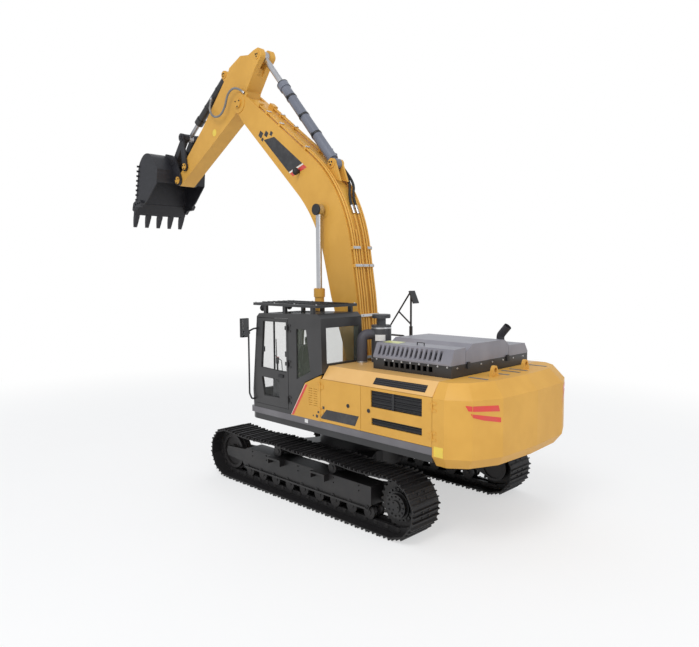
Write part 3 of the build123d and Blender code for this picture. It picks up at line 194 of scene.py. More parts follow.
def glass(name, tint, deep, alpha):
    look = Look(name, alpha=alpha, coat_weight=0.4, coat_roughness=0.04)
    patches = look.place.noise(1.6, 2.0)
    look.vary(base_color=patches.mix(tint, deep), roughness=0.05 + patches * 0.06)
    return look.material



def decal(name, colour, rough=0.35):
    """Flat colour on a thin plate, a little faded in patches."""
    look = Look(name, coat_weight=0.3, coat_roughness=0.1)
    patches = look.place.noise(9.0, 5.0)
    faded = tuple(0.85 * part + 0.03 for part in colour)
    look.vary(base_color=patches.step(0.35, 0.75).mix(colour, faded), roughness=rough + patches * 0.15)
    return look.bump(look.place.noise(400.0, 2.0), 0.0003, 0.15).material


def mesh_sheet(name):
    """Expanded metal: rows of holes painted near-black as shade between light webs, by place alone."""
    look = Look(name, metallic=0.4)
    across = (look.x + look.z * 0.5) * 240.0
    down = (look.x - look.z * 0.5) * 240.0
    web = across.node("ShaderNodeMath", inputs={0: across}, operation="SINE") * down.node(
        "ShaderNodeMath", inputs={0: down}, operation="SINE")
    hole_shade = web.step(-0.15, 0.25)
    # the holes' near-black colour is painted shade of the dark space behind the sheet
    look.vary(base_color=hole_shade.mix((0.05, 0.05, 0.055), (0.006, 0.006, 0.007)), roughness=0.45 + hole_shade * 0.3)
    return look.bump(1.0 - hole_shade, 0.003, 0.8).material


def lens(name, colour):
    look = Look(name, coat_weight=1.0, coat_roughness=0.03)
    ribs = look.z.node("ShaderNodeMath", inputs={0: look.z * 900.0}, operation="SINE")
    # the ribs' darker bands, 0.6 of the lens colour, are painted shade on the ribs
    look.vary(base_color=ribs.step(-0.6, 0.9).mix(colour, tuple(0.6 * part for part in colour)),
              roughness=0.08 + ribs * 0.03)
    return look.bump(ribs, 0.0012, 0.5).material


def cloth(name, colour, light):
    """Woven seat cover with a fine over and under weave."""
    look = Look(name, sheen_weight=0.3)
    weave = look.x.node("ShaderNodeMath", inputs={0: look.x * 1900.0}, operation="SINE") * look.y.node(
        "ShaderNodeMath", inputs={0: look.y * 1900.0}, operation="SINE")
    patches = look.place.noise(6.0, 4.0)
    look.vary(base_color=(patches.step(0.3, 0.7) * 0.6 + weave * 0.2).mix(colour, light),
              roughness=0.82 + patches * 0.1)
    return look.bump(weave, 0.0012, 0.6).material


YELLOW = paint("yellow_paint", (0.69, 0.362, 0.055), (0.715, 0.382, 0.062), (0.655, 0.340, 0.050), rough=0.52,
               coat=0.10,
               dust=0.06)
# paler copy of the yellow paint for the top covers: painted light, the upward faces drawn lighter than the
# body yellow
LIT_TOP_YELLOW = paint("shoulder_paint_painted_light", (0.78, 0.455, 0.15), (0.80, 0.475, 0.165), (0.75, 0.43, 0.135),
                    dust=0.12)
HOOD_GREY = paint("hood_grey_paint", (0.215, 0.207, 0.236), (0.24, 0.232, 0.262), (0.19, 0.183, 0.21),
                  coat=0.25)
SILL_GREY = paint("sill_grey_paint", (0.15, 0.142, 0.152), (0.17, 0.162, 0.172), (0.13, 0.122, 0.132),
                  coat=0.2, dust=0.15)
BLACK = paint("black_paint", (0.017, 0.0165, 0.018), (0.022, 0.0215, 0.023), (0.013, 0.0125, 0.0135),
              rough=0.36,
              coat=0.2, dust=0.06)
CAB_BLACK = paint("cab_paint", (0.024, 0.0225, 0.0235), (0.03, 0.0285, 0.029), (0.019, 0.018, 0.0185),
                  rough=0.38,
                  coat=0.3, dust=0.05)
FRAME_BLACK = paint("frame_paint", (0.009, 0.0078, 0.0085), (0.013, 0.0115, 0.012), (0.006, 0.0055, 0.006),
                    rough=0.42,
                    coat=0.10, dust=0.02)
BARREL_GREY = paint("barrel_grey_paint", (0.155, 0.165, 0.205), (0.175, 0.186, 0.228), (0.135, 0.145, 0.182),
                    coat=0.3,
                    dust=0.0)
TRACK = steel("track_steel", (0.009, 0.008, 0.0085), (0.030, 0.026, 0.026), metal=0.45, rough=0.42)
CHAIN = steel("chain_steel", (0.018, 0.016, 0.016), (0.07, 0.063, 0.06), metal=0.6, rough=0.38, grain=40.0)
BUCKET_BLACK = steel("bucket_paint", (0.015, 0.0148, 0.019), (0.034, 0.0335, 0.041), metal=0.12, rough=0.34,
                     grain=5.0)
TOOTH_STEEL = steel("tooth_paint", (0.012, 0.012, 0.014), (0.03, 0.03, 0.033), metal=0.2, rough=0.4,
                    grain=12.0)
CHROME = chrome("chrome_rod", (0.50, 0.50, 0.52), (0.66, 0.66, 0.67), 0.26)
DARK_CHROME = chrome("worn_rod", (0.33, 0.33, 0.35), (0.46, 0.46, 0.47), 0.3)
SILVER = chrome("zinc_plate", (0.55, 0.55, 0.56), (0.72, 0.72, 0.72), 0.32)
EXHAUST = steel("exhaust_steel", (0.03, 0.028, 0.032), (0.075, 0.07, 0.078), rough=0.45)
GLASS = glass("window_glass", (0.20, 0.23, 0.16), (0.16, 0.19, 0.13), 0.13)
SIDE_GLASS = glass("door_window_glass", (0.45, 0.46, 0.44), (0.38, 0.39, 0.37), 0.05)
SEAT = cloth("seat_cloth", (0.02, 0.02, 0.022), (0.05, 0.05, 0.055))
PLASTIC = plastic("black_plastic", (0.015, 0.015, 0.016), (0.026, 0.026, 0.028))
RUBBER = plastic("black_rubber", (0.012, 0.012, 0.012), (0.022, 0.022, 0.022), 0.6, 0.2)
DUCT = plastic("duct_rubber", (0.055, 0.052, 0.062), (0.075, 0.07, 0.083), 0.5, 0.2)
CAN_GREY = plastic("can_plastic", (0.045, 0.045, 0.05), (0.07, 0.07, 0.076), 0.42)
SLEEVE = plastic("hose_sleeve", (0.17, 0.165, 0.16), (0.27, 0.265, 0.255), 0.6, 0.8, 420.0)
ENGINE = paint("engine_grey_paint", (0.04, 0.042, 0.045), (0.055, 0.057, 0.06), (0.03, 0.032, 0.034))
DECAL_BLACK = decal("black_film", (0.016, 0.015, 0.017))
DECAL_RED = decal("red_film", (0.70, 0.045, 0.03))
DECAL_WHITE = decal("white_film", (0.80, 0.79, 0.77))
DECAL_YELLOW = decal("yellow_film", (0.86, 0.62, 0.055))
DECAL_LIME = decal("lime_film", (0.62, 0.63, 0.22))
GRIP = plastic("grip_strip", (0.13, 0.13, 0.14), (0.20, 0.20, 0.21), 0.85, 1.0, 900.0)
MESH = mesh_sheet("expanded_mesh")
LENS = lens("lamp_lens", (0.62, 0.64, 0.66))
MIRROR = chrome("mirror_face", (0.80, 0.82, 0.84), (0.86, 0.88, 0.90), 0.02)

LOOKS = {
    "counterweight": YELLOW, "left_fixed_cover": YELLOW, "left_front_door": YELLOW, "left_rear_door": YELLOW,
    "right_rear_door": YELLOW, "top_covers": LIT_TOP_YELLOW, "fuel_tank": YELLOW, "tool_box": YELLOW,
    "boom": YELLOW,
    "arm": YELLOW, "boom_cylinder_barrels": YELLOW, "arm_cylinder_barrel": BARREL_GREY,
    "bucket_cylinder_barrel": BLACK, "hood_left_cover": HOOD_GREY, "hood_lid": HOOD_GREY,
    "hood_right_cover": HOOD_GREY, "hood_base": BLACK, "side_sills": SILL_GREY, "cab_shell": CAB_BLACK,
    "cab_door": CAB_BLACK, "roof_guard": BLACK, "right_rails": BLACK, "left_mirror": PLASTIC,
    "main_deck": BLACK,
    "house_frame": BLACK, "cab_glass": GLASS, "door_glass": SIDE_GLASS, "operator_seat": SEAT,
    "cab_consoles": PLASTIC,
    "air_cleaner": CAN_GREY, "intake_duct": DUCT, "engine": ENGINE, "exhaust_pipe": EXHAUST,
    "boom_cylinder_rods": CHROME, "arm_cylinder_rod": CHROME, "bucket_cylinder_rod": DARK_CHROME,
    "bucket": BUCKET_BLACK, "bucket_link": BUCKET_BLACK, "bucket_rocker": BUCKET_BLACK, "track_left": TRACK,
    "track_right": TRACK, "idlers": CHAIN, "sprockets": CHAIN, "rollers": CHAIN, "final_drives": FRAME_BLACK,
    "track_frames": FRAME_BLACK, "car_body": FRAME_BLACK, "swing_ring": CHAIN,
}
for name, node in nodes.items():
    node.data.materials.clear()
    node.data.materials.append(LOOKS.get(name, PLASTIC))


# ---- making pieces: places are metres from the swing axis, the ground and the machine's middle ----

SWING = -1.870
FILM = 0.0012              # thickness of decals and plates
LIFT = 0.0006              # their clearance above the paint
SIDE = 1.490               # half width of the covers
LEFT = Vector((0, 1, 0))
UP = Vector((0, 0, 1))


def at(x, y, z):
    return Vector((x + SWING, y, z))


def finish(name, mesh, look, body, smooth=False):
    """Make a mesh an object with one look, and let it ride on a body."""
    if isinstance(mesh, bmesh.types.BMesh):
        bmesh.ops.recalc_face_normals(mesh, faces=mesh.faces)
        made = bpy.data.meshes.new(name)
        mesh.to_mesh(made)
        mesh.free()
        mesh = made
    mesh.materials.clear()
    mesh.materials.append(look)
    mesh.polygons.foreach_set("use_smooth", [smooth] * len(mesh.polygons))
    piece = bpy.data.objects.new(name, mesh)
    bpy.context.scene.collection.objects.link(piece)
    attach(piece, body)
    return piece


def solid(mesh, outline, depth):
    """Closed prism over a flat outline."""
    low = [mesh.verts.new(point) for point in outline]
    high = [mesh.verts.new(point + depth) for point in outline]
    mesh.faces.new(low[::-1])
    mesh.faces.new(high)
    for i in range(len(low)):
        j = (i + 1) % len(low)
        mesh.faces.new((low[i], low[j], high[j], high[i]))


def box(mesh, low, high):
    """Block between two corners, its edges softened."""
    corners = [Vector((low.x, low.y, low.z)), Vector((high.x, low.y, low.z)), Vector((high.x, high.y, low.z)),
               Vector((low.x, high.y, low.z))]
    first = len(mesh.edges)
    solid(mesh, corners, Vector((0, 0, high.z - low.z)))
    mesh.edges.ensure_lookup_table()
    soft = min((high - low)) * 0.12
    bmesh.ops.bevel(mesh, geom=mesh.edges[first:], offset=soft, segments=2, affect="EDGES")


def film(mesh, corners, outward, thickness=FILM):
    """Thin plate that lies just off a face."""
    outward = outward.normalized()
    solid(mesh, [corner + outward * LIFT for corner in corners], outward * thickness)


def lathe(mesh, profile, place, axis, sides=32):
    """Closed body of revolution: profile of (radius, height) pairs along an axis, radius 0 at both ends."""
    turn = axis.to_track_quat("Z", "Y")
    rings = []
    for radius, height in profile:
        if radius == 0:
            rings.append([mesh.verts.new(place + turn @ Vector((0, 0, height)))])
        else:
            rings.append([mesh.verts.new(place + turn @ Vector((radius * cos(2 * pi * i / sides),
                                                               radius * sin(2 * pi * i / sides), height)))
                          for i in range(sides)])
    for lower, upper in zip(rings, rings[1:]):
        for i in range(sides):
            j = (i + 1) % sides
            corners = [lower[i % len(lower)], lower[j % len(lower)], upper[j % len(upper)],
                       upper[i % len(upper)]]
            mesh.faces.new(list(dict.fromkeys(corners)))


def rods(name, lines, radius, look, body, bend=0.0):
    """Round wires along lists of points."""
    curve = bpy.data.curves.new(name, "CURVE")
    curve.dimensions = "3D"
    curve.bevel_depth = radius
    curve.bevel_resolution = 3
    curve.use_fill_caps = True
    for points in lines:
        spline = curve.splines.new("NURBS" if bend else "POLY")
        spline.points.add(len(points) - 1)
        for slot, point in zip(spline.points, points):
            slot.co = (*point, 1.0)
        if bend:
            spline.order_u = 3
            spline.use_endpoint_u = True
    raw = bpy.data.objects.new(name + "_line", curve)
    bpy.context.scene.collection.objects.link(raw)
    mesh = bpy.data.meshes.new_from_object(raw.evaluated_get(bpy.context.evaluated_depsgraph_get()))
    bpy.data.objects.remove(raw)
    return finish(name, mesh, look, body, True)


# ---- what repeats, by geometry nodes: a shape on each of a list of spots -----------------------

class Grove:
    """Geometry node tree that puts one small shape on every point, turned by the point's own angles."""

    def __init__(self, name, sizes):
        self.tree = bpy.data.node_groups.new(name, "GeometryNodeTree")
        face = self.tree.interface
        face.new_socket("Geometry", in_out="INPUT", socket_type="NodeSocketGeometry")
        self.keys = {}
        for size in sizes:
            self.keys[size] = face.new_socket(size, in_out="INPUT", socket_type="NodeSocketFloat").identifier
        self.keys["Look"] = face.new_socket("Look", in_out="INPUT",
                                            socket_type="NodeSocketMaterial").identifier
        face.new_socket("Geometry", in_out="OUTPUT", socket_type="NodeSocketGeometry")
        self.start = self.tree.nodes.new("NodeGroupInput")

    def node(self, kind, settings=None, **inputs):
        made = self.tree.nodes.new(kind)
        for key, value in (settings or {}).items():
            setattr(made, key, value)
        for key, value in inputs.items():
            socket = made.inputs[key.replace("_", " ")]
            if isinstance(value, bpy.types.NodeSocket):
                self.tree.links.new(value, socket)
            else:
                socket.default_value = value
        return made

    def size(self, name, factor=1.0):
        socket = self.start.outputs[name]
        if factor == 1.0:
            return socket
        times = self.tree.nodes.new("ShaderNodeMath")
        times.operation = "MULTIPLY"
        self.tree.links.new(socket, times.inputs[0])
        times.inputs[1].default_value = factor
        return times.outputs[0]

    def moved(self, shape, lift):
        offset = self.node("ShaderNodeCombineXYZ", Z=lift)
        return self.node("GeometryNodeTransform", Geometry=shape, Translation=offset.outputs[0]).outputs[0]

    def plant(self, shapes):
        """Join the shapes, put them on the points and finish the tree."""
        joined = self.tree.nodes.new("GeometryNodeJoinGeometry")
        for shape in shapes:
            self.tree.links.new(shape, joined.inputs[0])
        turn = self.node("GeometryNodeInputNamedAttribute", {"data_type": "FLOAT_VECTOR"}, Name="turn")
        spread = self.node("GeometryNodeInstanceOnPoints", Points=self.start.outputs["Geometry"],
                           Instance=joined.outputs[0], Rotation=turn.outputs[0])
        real = self.node("GeometryNodeRealizeInstances", Geometry=spread.outputs[0])
        painted = self.node("GeometryNodeSetMaterial", Geometry=real.outputs[0],
                            Material=self.start.outputs["Look"])
        end = self.tree.nodes.new("NodeGroupOutput")
        self.tree.links.new(painted.outputs[0], end.inputs[0])
        return self

    def grow(self, name, spots, look, body, **sizes):
        """Evaluate the tree on spots, each a place and an outward direction, as one plain mesh."""
        mesh = bpy.data.meshes.new(name + "_spots")
        mesh.from_pydata([tuple(place) for place, _ in spots], [], [])
        turns = mesh.attributes.new("turn", "FLOAT_VECTOR", "POINT")
        for slot, (_, outward) in zip(turns.data, spots):
            slot.vector = outward.to_track_quat("Z", "Y").to_euler()
        raw = bpy.data.objects.new(name + "_spots", mesh)
        bpy.context.scene.collection.objects.link(raw)
        modifier = raw.modifiers.new("grow", "NODES")
        modifier.node_group = self.tree
        for key, value in sizes.items():
            modifier[self.keys[key]] = value
        modifier[self.keys["Look"]] = look
        grown = bpy.data.meshes.new_from_object(raw.evaluated_get(bpy.context.evaluated_depsgraph_get()))
        raw.modifiers.remove(modifier)
        bpy.data.objects.remove(raw)
        return finish(name, grown, look, body)


def screw_tree():
    """Hexagon head on a washer."""
    grove = Grove("screw_heads", ["Radius", "Height"])
    head = grove.node("GeometryNodeMeshCylinder", Vertices=6, Radius=grove.size("Radius"),
                      Depth=grove.size("Height"))
    washer = grove.node("GeometryNodeMeshCylinder", Vertices=10, Radius=grove.size("Radius", 1.4),
                        Depth=grove.size("Height", 0.3))
    return grove.plant([grove.moved(head.outputs["Mesh"], grove.size("Height", 0.75)),
                        grove.moved(washer.outputs["Mesh"], grove.size("Height", 0.15))])


def boss_tree():
    """Round boss with a smaller pin end standing out of it."""
    grove = Grove("pin_bosses", ["Radius", "Height"])
    disc = grove.node("GeometryNodeMeshCylinder", Vertices=14, Radius=grove.size("Radius"),
                      Depth=grove.size("Height"))
    pin = grove.node("GeometryNodeMeshCylinder", Vertices=10, Radius=grove.size("Radius", 0.55),
                     Depth=grove.size("Height", 0.6))
    return grove.plant([grove.moved(disc.outputs["Mesh"], grove.size("Height", 0.5)),
                        grove.moved(pin.outputs["Mesh"], grove.size("Height", 1.3))])


def bar_tree():
    """Flat bar of a given length, width and height; the length lies level."""
    grove = Grove("bars", ["Length", "Width", "Height"])
    size = grove.node("ShaderNodeCombineXYZ", X=grove.size("Length"), Y=grove.size("Width"),
                      Z=grove.size("Height"))
    cube = grove.node("GeometryNodeMeshCube", Size=size.outputs[0])
    return grove.plant([grove.moved(cube.outputs["Mesh"], grove.size("Height", 0.5))])


SCREWS = screw_tree()
BOSSES = boss_tree()
BARS = bar_tree()


def circle(centre, axis, radius, count, start=0.0):
    """Spots on a circle round an axis."""
    turn = axis.to_track_quat("Z", "Y")
    spots = []
    for i in range(count):
        angle = start + 2 * pi * i / count
        spots.append((centre + turn @ Vector((radius * cos(angle), radius * sin(angle), 0)), axis))
    return spots


# ---- tracks --------------------------------------------------------------------------------

AXLE_HALF = 2.035
AXLE_Z = 0.468
PITCH_RADIUS = 0.366
GAUGE_HALF = 1.295
SHOES = 48
SAG = 0.034
PLATE = 0.066              # shoe plate's face above the pin line


def pin_line():
    """The chain's pins, from the rear bottom."""
    straight, arc = 2 * AXLE_HALF, pi * PITCH_RADIUS
    pins = []
    for i in range(SHOES):
        run = (2 * straight + 2 * arc) * i / SHOES
        if run < straight:
            pins.append((run - AXLE_HALF, AXLE_Z - PITCH_RADIUS))
            continue
        run -= straight
        if run < arc:
            turn = run / PITCH_RADIUS
            pins.append((AXLE_HALF + PITCH_RADIUS * sin(turn), AXLE_Z - PITCH_RADIUS * cos(turn)))
            continue
        run -= arc
        if run < straight:
            drop = SAG * (1 - cos(6 * pi * run / straight)) / 2
            pins.append((AXLE_HALF - run, AXLE_Z + PITCH_RADIUS - drop))
            continue
        turn = (run - straight) / PITCH_RADIUS
        pins.append((-AXLE_HALF - PITCH_RADIUS * sin(turn), AXLE_Z + PITCH_RADIUS * cos(turn)))
    return pins


def tracks():
    pins = pin_line()
    bolts, bosses = [], []
    for side in (-1, 1):
        for i, (x, z) in enumerate(pins):
            next_x, next_z = pins[(i + 1) % SHOES]
            pitch = hypot(next_x - x, next_z - z)
            along = Vector(((next_x - x) / pitch, 0, (next_z - z) / pitch))
            out = Vector((along.z, 0, -along.x))
            middle = at((x + next_x) / 2, side * GAUGE_HALF, (z + next_z) / 2)
            for share in (-0.2, 0.2):
                for y in (-0.075, 0.075):
                    bolts.append((middle + along * (share * pitch) + out * (PLATE - 0.001) + LEFT * y, out))
            for y in (-0.101, 0.101):
                bosses.append((at(x, side * GAUGE_HALF + y, z), LEFT * (1 if y > 0 else -1)))
    SCREWS.grow("shoe_bolts", bolts, CHAIN, "undercarriage", Radius=0.014, Height=0.014)
    BOSSES.grow("chain_pins", bosses, CHAIN, "undercarriage", Radius=0.038, Height=0.007)


def running_gear():
    """Bolts of the final drives, the idler guards, the roller ends and the swing ring."""
    bolts, small, caps = [], [], []
    for side in (-1, 1):
        out = LEFT * side
        hub = at(-AXLE_HALF, side * GAUGE_HALF, AXLE_Z)
        bolts += circle(hub + out * 0.0745, out, 0.226, 20)
        bolts += circle(hub + out * 0.1645, out, 0.140, 12)
        small += circle(hub + out * 0.1845, out, 0.060, 3)
        for i in range(9):
            caps.append((at(-1.480 + 0.370 * i, side * (GAUGE_HALF + 0.1645), 0.300), out))
        for x in (-1.30, -0.75, 0.10, 0.95, 1.35):
            for z in (0.52, 0.60):
                small.append((at(x, side * (GAUGE_HALF + 0.1645), z), out))
    bolts += circle(at(0, 0, 1.1885), -UP, 0.715, 36)
    SCREWS.grow("drive_bolts", bolts, FRAME_BLACK, "undercarriage", Radius=0.013, Height=0.014)
    SCREWS.grow("frame_bolts", small, FRAME_BLACK, "undercarriage", Radius=0.011, Height=0.010)
    BOSSES.grow("roller_caps", caps, FRAME_BLACK, "undercarriage", Radius=0.045, Height=0.012)


# ---- covers: decals, plates, grilles, locks ------------------------------------------------------

def on_side(points, y=SIDE):
    return [at(x, y, z) for x, z in points]


DOOR_FILM = [(-0.643, 1.670), (-1.345, 1.674), (-1.265, 1.514), (-0.526, 1.512), (-0.497, 1.542)]
FRONT_SEAM = -0.509        # between the fixed cover and the front service door
FILM_SQUARES = [(-0.575, 1.692, 0.022), (-0.455, 1.600, 0.020), (-0.420, 1.535, 0.024),
                (-0.335, 1.532, 0.012)]
CAB_EDGE = [(0.213, 1.472), (-0.146, 2.034)]     # the cover's front edge beside the cab


def square(mesh, x, z, half, y, outward=LEFT):
    film(mesh, [at(x - half, y, z - half), at(x + half, y, z - half), at(x + half, y, z + half),
                at(x - half, y, z + half)], outward)


def side_films():
    mesh = bmesh.new()
    film(mesh, on_side([(x, z) for x, z in DOOR_FILM if x < FRONT_SEAM] + [(FRONT_SEAM - 0.004, 1.530)]),
         LEFT)
    square(mesh, *FILM_SQUARES[0], SIDE)
    finish("door_film", mesh, DECAL_BLACK, "left_front_door")
    mesh = bmesh.new()
    for spot in FILM_SQUARES[1:]:
        square(mesh, *spot, SIDE)
    finish("cover_film", mesh, DECAL_BLACK, "upper")
    (x0, z0), (x1, z1) = CAB_EDGE
    red, white = bmesh.new(), bmesh.new()
    film(red, on_side([(x0 - 0.012, z0), (x0 - 0.066, z0), (x1 - 0.058, z1 - 0.02), (x1 - 0.006, z1 - 0.02)]),
         LEFT)
    film(white, on_side([(x0 - 0.002, z0), (x0 - 0.011, z0), (x1 - 0.005, z1 - 0.02),
                         (x1 + 0.003, z1 - 0.02)]), LEFT)
    finish("red_edge_stripe", red, DECAL_RED, "upper")
    finish("white_edge_stripe", white, DECAL_WHITE, "upper")
    mesh = bmesh.new()
    box(mesh, at(-0.205, SIDE - 0.0005, 1.385), at(-0.130, SIDE + 0.006, 1.445))
    finish("sill_reflector", mesh, DECAL_WHITE, "upper")


# the two bars of the rear reflector on the counterweight's corner facets: rows of (x, y, z)
REFLECTOR_BARS = [
    [(-3.130, 1.341, 2.072), (-3.208, 1.2915, 2.067), (-3.208, 1.2915, 1.998), (-3.165, 1.319, 2.000)],
    [(-3.212, 1.286, 2.067), (-3.369, 0.922, 2.050), (-3.379, 0.899, 1.967), (-3.212, 1.286, 1.996)],
    [(-3.188, 1.304, 1.968), (-3.208, 1.2915, 1.964), (-3.208, 1.2915, 1.925)],
    [(-3.212, 1.286, 1.962), (-3.386, 0.883, 1.882), (-3.386, 0.882, 1.817), (-3.279, 1.131, 1.865),
     (-3.212, 1.286, 1.915)],
]
GRIP_STRIPS = [(0.740, -2.800), (0.180, -2.800), (-0.120, -2.800), (-0.335, -2.800), (-0.925, -2.800)]


def counterweight_films():
    mesh = bmesh.new()
    for corners in REFLECTOR_BARS:
        for side in (1, -1):
            points = [at(x, side * y, z) for x, y, z in corners]
            outward = (points[1] - points[0]).cross(points[-1] - points[0])
            if outward.y * side < 0:
                outward = -outward
            film(mesh, points, outward, 0.0025)
    finish("rear_reflectors", mesh, DECAL_RED, "upper")
    mesh = bmesh.new()
    film(mesh, on_side([(-2.735, 1.350), (-2.885, 1.350), (-2.885, 1.488), (-2.735, 1.488)]), LEFT)
    finish("blank_yellow_plate", mesh, DECAL_YELLOW, "upper")
    mesh = bmesh.new()
    for y, x in GRIP_STRIPS:
        film(mesh, [at(x, y, 2.340), at(x, y + 0.055, 2.340), at(x - 0.30, y + 0.055, 2.340),
                    at(x - 0.30, y, 2.340)],
             UP, 0.003)
    finish("grip_strips", mesh, GRIP, "upper")


SLOTS = [(1.854, 2.102, -2.531, -1.586), (1.591, 1.697, -2.533, -1.600)]    # low z, high z, rear x, front x


def grilles():
    """Mesh, slats and a post behind the door's slots, and mesh on the shoulder."""
    mesh = bmesh.new()
    slats = []
    for low, high, rear, front in SLOTS:
        back = SIDE - 0.028
        solid(mesh, [at(rear + 0.002, back, low + 0.002), at(front - 0.002, back, low + 0.002),
                     at(front - 0.002, back, high - 0.002), at(rear + 0.002, back, high - 0.002)],
                     LEFT * 0.004)
        count = round((high - low) / 0.041)
        for i in range(1, count):
            slats.append((at((rear + front) / 2, back + 0.004, low + (high - low) * i / count), LEFT))
    finish("door_mesh", mesh, MESH, "left_rear_door")
    BARS.grow("door_slats", slats, PLASTIC, "left_rear_door", Length=0.930, Width=0.010, Height=0.016)
    mesh = bmesh.new()
    for low, high, rear, front in SLOTS[:1]:
        middle = (rear + front) / 2 + 0.05
        solid(mesh, [at(middle - 0.02, SIDE - 0.024, low + 0.004),
                     at(middle + 0.02, SIDE - 0.024, low + 0.004),
                     at(middle + 0.02, SIDE - 0.024, high - 0.004),
                     at(middle - 0.02, SIDE - 0.024, high - 0.004)],
              LEFT * 0.018)
    finish("door_post", mesh, PLASTIC, "left_rear_door")
    mesh = bmesh.new()
    slope = Vector((0, 0.185, 0.150)).normalized()
    low, high = (1.4615, 2.190), (1.3905, 2.2775)
    for rear, front in ((-2.560, -1.605),):
        film(mesh, [at(rear, low[0], low[1]), at(front, low[0], low[1]), at(front, high[0], high[1]),
                    at(rear, high[0], high[1])], slope, 0.003)
    finish("shoulder_mesh", mesh, MESH, "upper")


def locks():
    """Round key locks on the doors with their pressed ring."""
    for name, x, z, side, body in (("front_door_lock", -1.119, 1.800, 1, "left_front_door"),
                                   ("rear_door_lock", -1.545, 1.790, 1, "left_rear_door"),
                                   ("right_door_lock", -1.300, 1.800, -1, "right_rear_door")):
        mesh = bmesh.new()
        lathe(mesh, [(0, 0.0005), (0.030, 0.0005), (0.031, 0.006), (0.026, 0.009), (0.012, 0.009),
                     (0.011, 0.005),
                     (0, 0.005)], at(x, side * SIDE, z), LEFT * side)
        finish(name, mesh, PLASTIC, body, True)


def hood_trim():
    mesh = bmesh.new()
    film(mesh, [at(-1.30, 0.735, 2.746), at(-1.30, 0.900, 2.7375), at(-1.62, 0.900, 2.7375),
                at(-1.62, 0.735, 2.746)],
         Vector((0, 0.045, 1)), 0.001)
    finish("blank_lime_plate", mesh, DECAL_LIME, "upper")
    rods("hood_handle", [[at(-1.93, 0.84, 2.738), at(-1.93, 0.84, 2.775), at(-2.06, 0.84, 2.775),
                          at(-2.06, 0.84, 2.738)]],
         0.009, BLACK, "upper")
    spots = []
    for i in range(9):
        spots.append((at(-1.30 - 0.165 * i, 1.040, 2.490), LEFT))
        spots.append((at(-1.30 - 0.165 * i, -1.040, 2.490), -LEFT))
    for i in range(7):
        spots.append((at(-2.690, -0.90 + 0.30 * i, 2.470), Vector((-1, 0, 0))))
    SCREWS.grow("hood_screws", spots, SILVER, "upper", Radius=0.010, Height=0.008)
    mesh = bmesh.new()
    for y in (-0.42, 0.64):
        box(mesh, at(-2.712, y - 0.03, 2.44), at(-2.6895, y + 0.03, 2.535))
    finish("hood_latches", mesh, PLASTIC, "upper")


# ---- cab ---------------------------------------------------------------------------------------

CAB_SIDE = 1.486           # outer face of the cab's left wall
DOOR_SIDE = 1.489


def door_fittings():
    """Sliding window's bar and catches, window seals, and the door's handle."""
    mesh = bmesh.new()
    box(mesh, at(0.654, DOOR_SIDE - 0.034, 2.165), at(0.676, DOOR_SIDE - 0.010, 2.992))
    for x, z in ((0.945, 2.50), (0.348, 2.46)):
        box(mesh, at(x - 0.016, DOOR_SIDE - 0.030, z - 0.045), at(x + 0.016, DOOR_SIDE - 0.004, z + 0.045))
    box(mesh, at(0.405, DOOR_SIDE + 0.0003, 2.055), at(0.530, DOOR_SIDE + 0.018, 2.105))
    finish("door_fittings", mesh, PLASTIC, "cab_door")
    seals = []
    for window in ([(1.012, 2.180), (0.940, 2.990), (0.330, 2.996), (0.325, 2.150)],
                   [(0.935, 1.690), (1.000, 2.020), (0.520, 2.010), (0.520, 1.700)]):
        loop = on_side(window, DOOR_SIDE - 0.014)
        seals.append(loop + [loop[0]])
    rods("door_window_seals", seals, 0.010, RUBBER, "cab_door")
    loop = on_side([(0.070, 2.070), (0.070, 2.900), (-0.170, 2.900), (-0.267, 2.230)], CAB_SIDE - 0.016)
    rods("side_window_seal", [loop + [loop[0]]], 0.010, RUBBER, "upper")


def lamp_body(mesh, place, axis, radius):
    """Round lamp housing with a stepped back."""
    lathe(mesh, [(0, -0.055), (radius * 0.55, -0.052), (radius * 0.9, -0.022), (radius, -0.008),
                 (radius, 0.006),
                 (radius * 0.9, 0.008), (radius * 0.86, 0.002), (0, 0.002)], place, axis)


def lamp_glass(mesh, place, axis, radius):
    lathe(mesh, [(0, 0.0025), (radius * 0.85, 0.0025), (radius * 0.8, 0.006), (radius * 0.4, 0.010),
                 (0, 0.011)], place, axis)


def lamps():
    """Work lamps under the cab's guard, on the tool box and on the boom's side, each on a bracket."""
    ahead = Vector((1, 0, -0.12)).normalized()
    cab, cab_glass = bmesh.new(), bmesh.new()
    for y in (0.720, 1.330):
        place = at(1.150, y, 3.195)
        lamp_body(cab, place, ahead, 0.055)
        box(cab, at(1.095, y - 0.012, 3.235), at(1.120, y + 0.012, 3.262))
        lamp_glass(cab_glass, place, ahead, 0.055)
    for y in (-0.760, -1.250):
        place = at(1.10, y, 1.790)
        lamp_body(cab, place, ahead, 0.060)
        box(cab, at(1.050, y - 0.014, 1.699), at(1.075, y + 0.014, 1.775))
        lamp_glass(cab_glass, place, ahead, 0.060)
    finish("work_lamps", cab, PLASTIC, "upper", True)
    finish("work_lamp_glass", cab_glass, LENS, "upper", True)
    boom, boom_glass = bmesh.new(), bmesh.new()
    along = Vector((0.80, 0, 0.16)).normalized()
    place = at(1.400, 0.318, 5.705)
    lamp_body(boom, place, along, 0.070)
    box(boom, at(1.355, 0.2456, 5.672), at(1.385, 0.300, 5.738))
    lamp_glass(boom_glass, place, along, 0.070)
    finish("boom_lamp", boom, PLASTIC, "boom", True)
    finish("boom_lamp_glass", boom_glass, LENS, "boom", True)


def mirrors():
    """Glass on the left mirror's housing."""
    mesh = bmesh.new()
    box(mesh, at(1.2265, 1.583, 2.708), at(1.2318, 1.717, 3.012))
    finish("left_mirror_glass", mesh, MIRROR, "upper")


